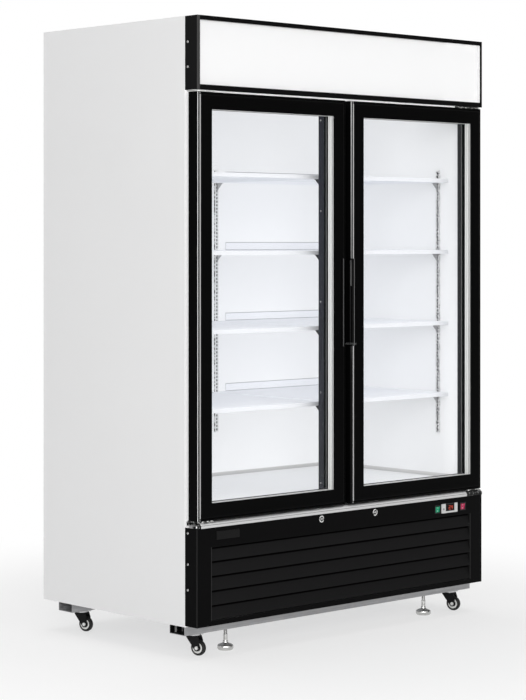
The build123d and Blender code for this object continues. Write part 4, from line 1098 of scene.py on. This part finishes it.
def fin_pack(place):
    fins = place.math("PINGPONG", place.along("X"), fin_half) / fin_half
    return surface(
        fins.between((0.20, 0.20, 0.21), (0.70, 0.71, 0.72)),
        0.4,
        fins.relief(0.001, 0.6),
        metallic=0.8,
    )


dress(finish(fin_pack), "condenser_unit", "evaporator_unit")

# Fans: moulded black blades on the shafts of small motors. The two over the tray blow down through
# wire guards of plated rings on four spokes, which are screwed under the tray.
guard_x = 0.280
guard_y = -0.051
guard_top = 1.7775
wire_radius = 0.0011
guard_rings = [0.026 + 0.0117 * index for index in range(7)]
spoke_end = 0.112
spoke_count = 4


def wire_ring(form, radius, seat):
    """A round wire bent into a ring."""
    sides = 6
    profile = []
    for step in range(sides + 1):
        angle = 2 * math.pi * step / sides
        profile.append((radius + wire_radius * math.cos(angle), wire_radius * math.sin(angle)))
    form.turned(profile, seat, count=48)


def wire_run(form, start, end, seat):
    """A straight length of the same wire."""
    run = Vector(end) - Vector(start)
    turn = run.to_track_quat("Z", "Y").to_matrix().to_4x4()
    profile = [(0, 0), (wire_radius, 0), (wire_radius, run.length), (0, run.length)]
    form.turned(profile, seat @ Matrix.Translation(start) @ turn, count=8)


dress(black_plastic, "evaporator_fan_left", "evaporator_fan_right", "condenser_fan")
above = 2 * wire_radius
for name, side in (("left", -1), ("right", 1)):
    guard = Form()
    seat = Matrix.Translation((side * guard_x, guard_y, guard_top - 3 * wire_radius))
    for radius in guard_rings:
        wire_ring(guard, radius, seat)
    for step in range(spoke_count):
        turn = Matrix.Rotation(math.radians(45 + 90 * step), 4, "Z")
        wire_run(guard, (guard_rings[0], 0, above), (spoke_end, 0, above), seat @ turn)
    guard_piece = piece("fan_guard_" + name, guard.mesh("fan_guard_" + name), plating, smooth=60)
    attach(guard_piece, "cabinet")

# Cross rails: galvanised channels under the cabinet, open at both ends, which carry the castors and
# the feet. The zinc is streaked where they were rolled. The front one is painted dark inside as
# shade, with two bright painted highlights on its back wall near the left end, where two nuts show.
rail_back = (-0.2556, -0.2544)
rail_roof = (0.0744, 0.0746)
rail_inside = (-0.3225, -0.2544)
rail_nuts = ((-0.6650, -0.6565), (-0.6350, -0.6290))


def rolled_zinc(place):
    streak = place.stretched(2.2, 150.0, 150.0).noise(1.0, 4.0, 0.6)
    blot = place.noise(34.0, 3.0)
    tint = (streak * 0.7 + blot * 0.3).between((0.13, 0.13, 0.135), (0.62, 0.62, 0.63))
    across, depth = place.along("X"), place.along("Y")
    back = depth.within(*rail_back)
    roof = place.along("Z").within(*rail_roof) * depth.within(*rail_inside)
    inside = back.either(roof)
    nut = back * across.within(*rail_nuts[0]).either(across.within(*rail_nuts[1]))
    hollow = inside.between(tint, 0.010)
    return surface(
        nut.between(hollow, (0.95, 0.95, 0.94)),
        0.3 + blot * 0.25,
        streak.relief(0.0001, 0.3),
        metallic=0.75,
    )


dress(finish(rolled_zinc), "cross_rails")

# Castors: plated top plates with a ball race, black pressed forks, and solid rubber tyres on
# nylon hubs with a white ring. A bright bolt is the axle.
castor_places = {
    "front_left": (-0.614, -0.288),
    "front_right": (0.614, -0.288),
    "rear_left": (-0.614, 0.264),
    "rear_right": (0.614, 0.264),
}
castor_trail = 0.017
castor_heading = math.radians(17)
wheel_radius = 0.025
bolt_radius = 0.0057
hub_ring = (0.0108, 0.0170)
race_level = 0.0640


def axle_reach(place, corner):
    """How far a point lies from the axle line of a wheel."""
    x, y = castor_places[corner]
    axle_x = x + castor_trail * math.sin(castor_heading)
    axle_y = y - castor_trail * math.cos(castor_heading)
    run = (math.cos(castor_heading), math.sin(castor_heading), 0)
    away = place.vector("SUBTRACT", (axle_x, axle_y, wheel_radius))
    return away.vector("DISTANCE", away.vector("PROJECT", run), 1)


def fork_lacquer(corner):
    """The look of one fork: its axle bolt, and painted glints of the race at its top."""

    def looks(place):
        cloud = place.noise(200.0)
        bolt = axle_reach(place, corner) < bolt_radius
        black = cloud.between((0.003, 0.003, 0.0033), (0.008, 0.008, 0.0085))
        steel = cloud.between(0.55, (0.80, 0.80, 0.79))
        bright = bolt.either((place.along("Z") > race_level) * (cloud > 0.56))
        return surface(
            bright.between(black, steel),
            0.3 + cloud * 0.12,
            cloud.relief(0.0001, 0.4),
            specular=0.1,
            metallic=bright,
        )

    return looks


def wheel_rubber(corner):
    """The look of one wheel, with the white ring of its hub."""

    def looks(place):
        grain = place.noise(500.0)
        ring = axle_reach(place, corner).within(*hub_ring)
        rubber = grain.between(0.005, 0.012)
        nylon = grain.between((0.80, 0.80, 0.78), (0.86, 0.86, 0.84))
        return surface(
            ring.between(rubber, nylon),
            0.5 - ring * 0.15,
            grain.relief(0.0001, 0.4),
            specular=0.25,
        )

    return looks


dress(zinc, "castor_plates")
for corner in castor_places:
    dress(finish(fork_lacquer(corner), "fork_lacquer_" + corner), "castor_fork_" + corner)
    dress(finish(wheel_rubber(corner), "wheel_rubber_" + corner), "castor_wheel_" + corner)

# Levelling feet: turned steel pads, bright plated, on M12 threaded stems that screw up through nuts
# in the front rail.
foot_x = 0.477
foot_y = -0.288
stem_radius = 0.006
thread_depth = 0.0007
thread_pitch = 0.00175
thread_low = 0.0510
stem_top = 0.0945
foot_profile = [
    (0, 0),
    (0.0225, 0),
    (0.0238, 0.0014),
    (0.026, 0.005),
    (0.026, 0.0128),
    (0.0255, 0.0142),
    (0.0225, 0.0170),
    (0.0165, 0.0195),
    (0.0120, 0.0210),
    (0.0093, 0.0222),
    (0.0085, 0.0235),
    (0.0085, 0.0275),
    (0.0076, 0.0285),
    (0.0071, 0.0300),
    (0.0071, 0.0310),
    (0.0071, 0.0485),
    (0.0071, 0.0495),
    (0.0060, 0.0505),
    (0.0060, thread_low),
]


def thread_radius(turns):
    """The radius of a thread after some turns, as a function of the share round the stem."""
    return lambda share: stem_radius - thread_depth * abs(2 * ((turns - share) % 1.0) - 1)


def threaded_stem(form, seat):
    """A stem with a real thread: its radius rises and falls once a pitch and winds round."""
    rows_each = 4
    rows = int((stem_top - thread_low) / thread_pitch * rows_each)
    profile = []
    for row in range(rows + 1):
        radius = thread_radius(row / rows_each)
        if row in (0, rows):
            radius = stem_radius - thread_depth
        profile.append((radius, thread_low + row * thread_pitch / rows_each))
    form.turned(profile, seat, count=16, lid=True)


def turned_steel(place):
    rings = place.stretched(0.0, 0.0, 2600.0).noise(1.0)
    cloud = place.noise(60.0, 3.0)
    return surface(
        cloud.between((0.40, 0.40, 0.39), (0.72, 0.72, 0.71)),
        0.16 + cloud * 0.12,
        rings.relief(0.00003, 0.4),
        metallic=1.0,
    )


steel = finish(turned_steel)
for name, side in (("left", -1), ("right", 1)):
    foot = Form()
    seat = Matrix.Translation((side * foot_x, foot_y, 0))
    foot.turned(foot_profile, seat, count=40)
    threaded_stem(foot, seat)
    foot_piece = piece("turned_foot_" + name, foot.mesh("turned_foot_" + name), steel, smooth=40)
    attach(foot_piece, "levelling_foot_" + name)
    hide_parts("levelling_foot_" + name)

# Studio: a pale seamless floor under soft light boxes. The floor is lit near the cabinet, where it
# takes its shadow, and runs out into the plain white that the camera and shiny pieces see. Two
# black flags beside the cabinet show only as dark bands in its glossy edges.
floor_size = 30.0
floor_drop = 0.0005
near_reach = 0.9
far_reach = 2.2
base_share = 0.60


def shown_rays(wire):
    """One for rays from the camera, or by way of a mirror or a pane, and nought for others."""
    seen = wire.node("ShaderNodeLightPath", out=0)
    mirrored = wire.node("ShaderNodeLightPath", out=3)
    through = wire.node("ShaderNodeLightPath", out=6)
    return seen.either(mirrored).either(through)


studio_paint = bpy.data.materials.new("studio_floor")
studio_paint.use_nodes = True
studio_paint.node_tree.nodes.clear()
paint = Wire(studio_paint.node_tree)
spot = paint.node("ShaderNodeNewGeometry", out=0)
grain = spot.noise(3.0)
tint = grain.between(0.90, 0.92)
matt = {"Base Color": tint, "Roughness": 0.9, "Specular IOR Level": 0.0}
matt = paint.node("ShaderNodeBsdfPrincipled", None, matt)
white = paint.node("ShaderNodeEmission", None, {"Color": (1, 1, 1, 1), "Strength": 1.0})
reach = {"Value": spot.distance(0, 0, 0), "From Min": near_reach, "From Max": far_reach}
fade = paint.node("ShaderNodeMapRange", {"interpolation_type": "SMOOTHSTEP"}, reach)
share = base_share + fade * (1.0 - base_share)
mixed = paint.node("ShaderNodeMixShader", None, {0: share * shown_rays(paint), 1: matt, 2: white})
paint.node("ShaderNodeOutputMaterial", None, {"Surface": mixed})

studio = Form()
corners = [(-1, -1), (1, -1), (1, 1), (-1, 1)]
studio.add([(x * floor_size, y * floor_size, -floor_drop) for x, y in corners], [(0, 1, 2, 3)])
piece("studio_floor", studio.mesh("studio_floor"), studio_paint)


def black_cloth(place):
    weave = place.noise(60.0)
    return surface(weave.between(0.0, 0.004), 1.0)


cloth = finish(black_cloth)
board_thickness = 0.02


def flag(name, place, width, height):
    """A black board that shows only as a dark band in shiny surfaces, like a studio flag."""
    board = Form()
    board.block((-width / 2, 0, -height / 2), (width / 2, board_thickness, height / 2))
    made = piece(name, board.mesh(name), cloth)
    made.location = place
    made.rotation_euler = (0, 0, math.atan2(place[1], place[0]) - math.pi / 2)
    made.visible_camera = False
    made.visible_diffuse = False
    made.visible_transmission = False
    made.visible_shadow = False


flag("flag_right", (3.6, -3.9, 1.4), 3.4, 3.6)
flag("flag_back", (-3.3, 3.6, 1.4), 2.6, 3.6)

fill_level = 0.50
world = bpy.data.worlds.new("studio")
bpy.context.scene.world = world
world.use_nodes = True
world.node_tree.nodes.clear()
air = Wire(world.node_tree)
level = fill_level + shown_rays(air) * (1.0 - fill_level)
sky = air.node("ShaderNodeBackground", None, {"Color": (1, 1, 1, 1), "Strength": level})
air.node("ShaderNodeOutputWorld", None, {"Surface": sky})


def light_box(name, place, target, width, height, power, gloss_only=False, mirrored=True):
    """A soft lamp that faces its target. A gloss card only shows in shiny surfaces."""
    lamp = bpy.data.lights.new(name, "AREA")
    lamp.shape = "RECTANGLE"
    lamp.size = width
    lamp.size_y = height
    lamp.energy = power
    box = bpy.data.objects.new(name, lamp)
    box.location = place
    aim = Vector(target) - Vector(place)
    box.rotation_euler = aim.to_track_quat("-Z", "Y").to_euler()
    box.visible_camera = False
    box.visible_glossy = mirrored
    if gloss_only:
        box.visible_diffuse = False
        box.visible_transmission = False
    bpy.context.scene.collection.objects.link(box)


light_box("key_box", (-6.2, -6.4, 2.6), (0, 0, 1.0), 4.0, 4.0, 345)
light_box("front_box", (3.0, -4.5, 2.6), (0, 0, 1.0), 3.0, 3.0, 35, mirrored=False)
light_box("top_box", (0, 0.5, 5.5), (0, 0, 1.0), 4.0, 4.0, 70)
light_box("gloss_card_front", (-2.2, -4.6, 1.2), (0, -0.3, 1.1), 3.4, 2.6, 80, True)
light_box("gloss_card_left", (-4.6, -1.6, 1.2), (0, -0.3, 1.1), 3.4, 2.6, 80, True)
for name, middle in (("left", -0.347), ("right", 0.347)):
    place, target = (middle, -0.319, 1.10), (middle, 0.31, 1.10)
    light_box("door_glow_" + name, place, target, 0.54, 1.22, 2.0)
light_box("canopy_glow", (0, -0.345, 1.83), (0, -0.323, 1.77), 1.3, 0.02, 0.5)

# Camera: level, on the line of the photograph, with a shifted lens so that upright edges stay
# upright in the picture.
lens_px = 2114.1
frame_px = (526, 700)
centre_px = (150.0, 240.3)
view_turn = 41.549
stand = (-5.136, -5.182, 1.30665)
camera_data = bpy.data.cameras.new("view_camera")
camera_data.sensor_width = 36.0
camera_data.lens = lens_px * camera_data.sensor_width / max(frame_px)
camera_data.shift_x = (frame_px[0] / 2 - centre_px[0]) / max(frame_px)
camera_data.shift_y = (centre_px[1] - frame_px[1] / 2) / max(frame_px)
camera_data.clip_end = 100
camera = bpy.data.objects.new("view_camera", camera_data)
camera.location = stand
camera.rotation_euler = (math.radians(90), 0, math.radians(-view_turn))
bpy.context.scene.collection.objects.link(camera)
bpy.context.scene.camera = camera
bpy.context.scene.view_settings.view_transform = "Standard"
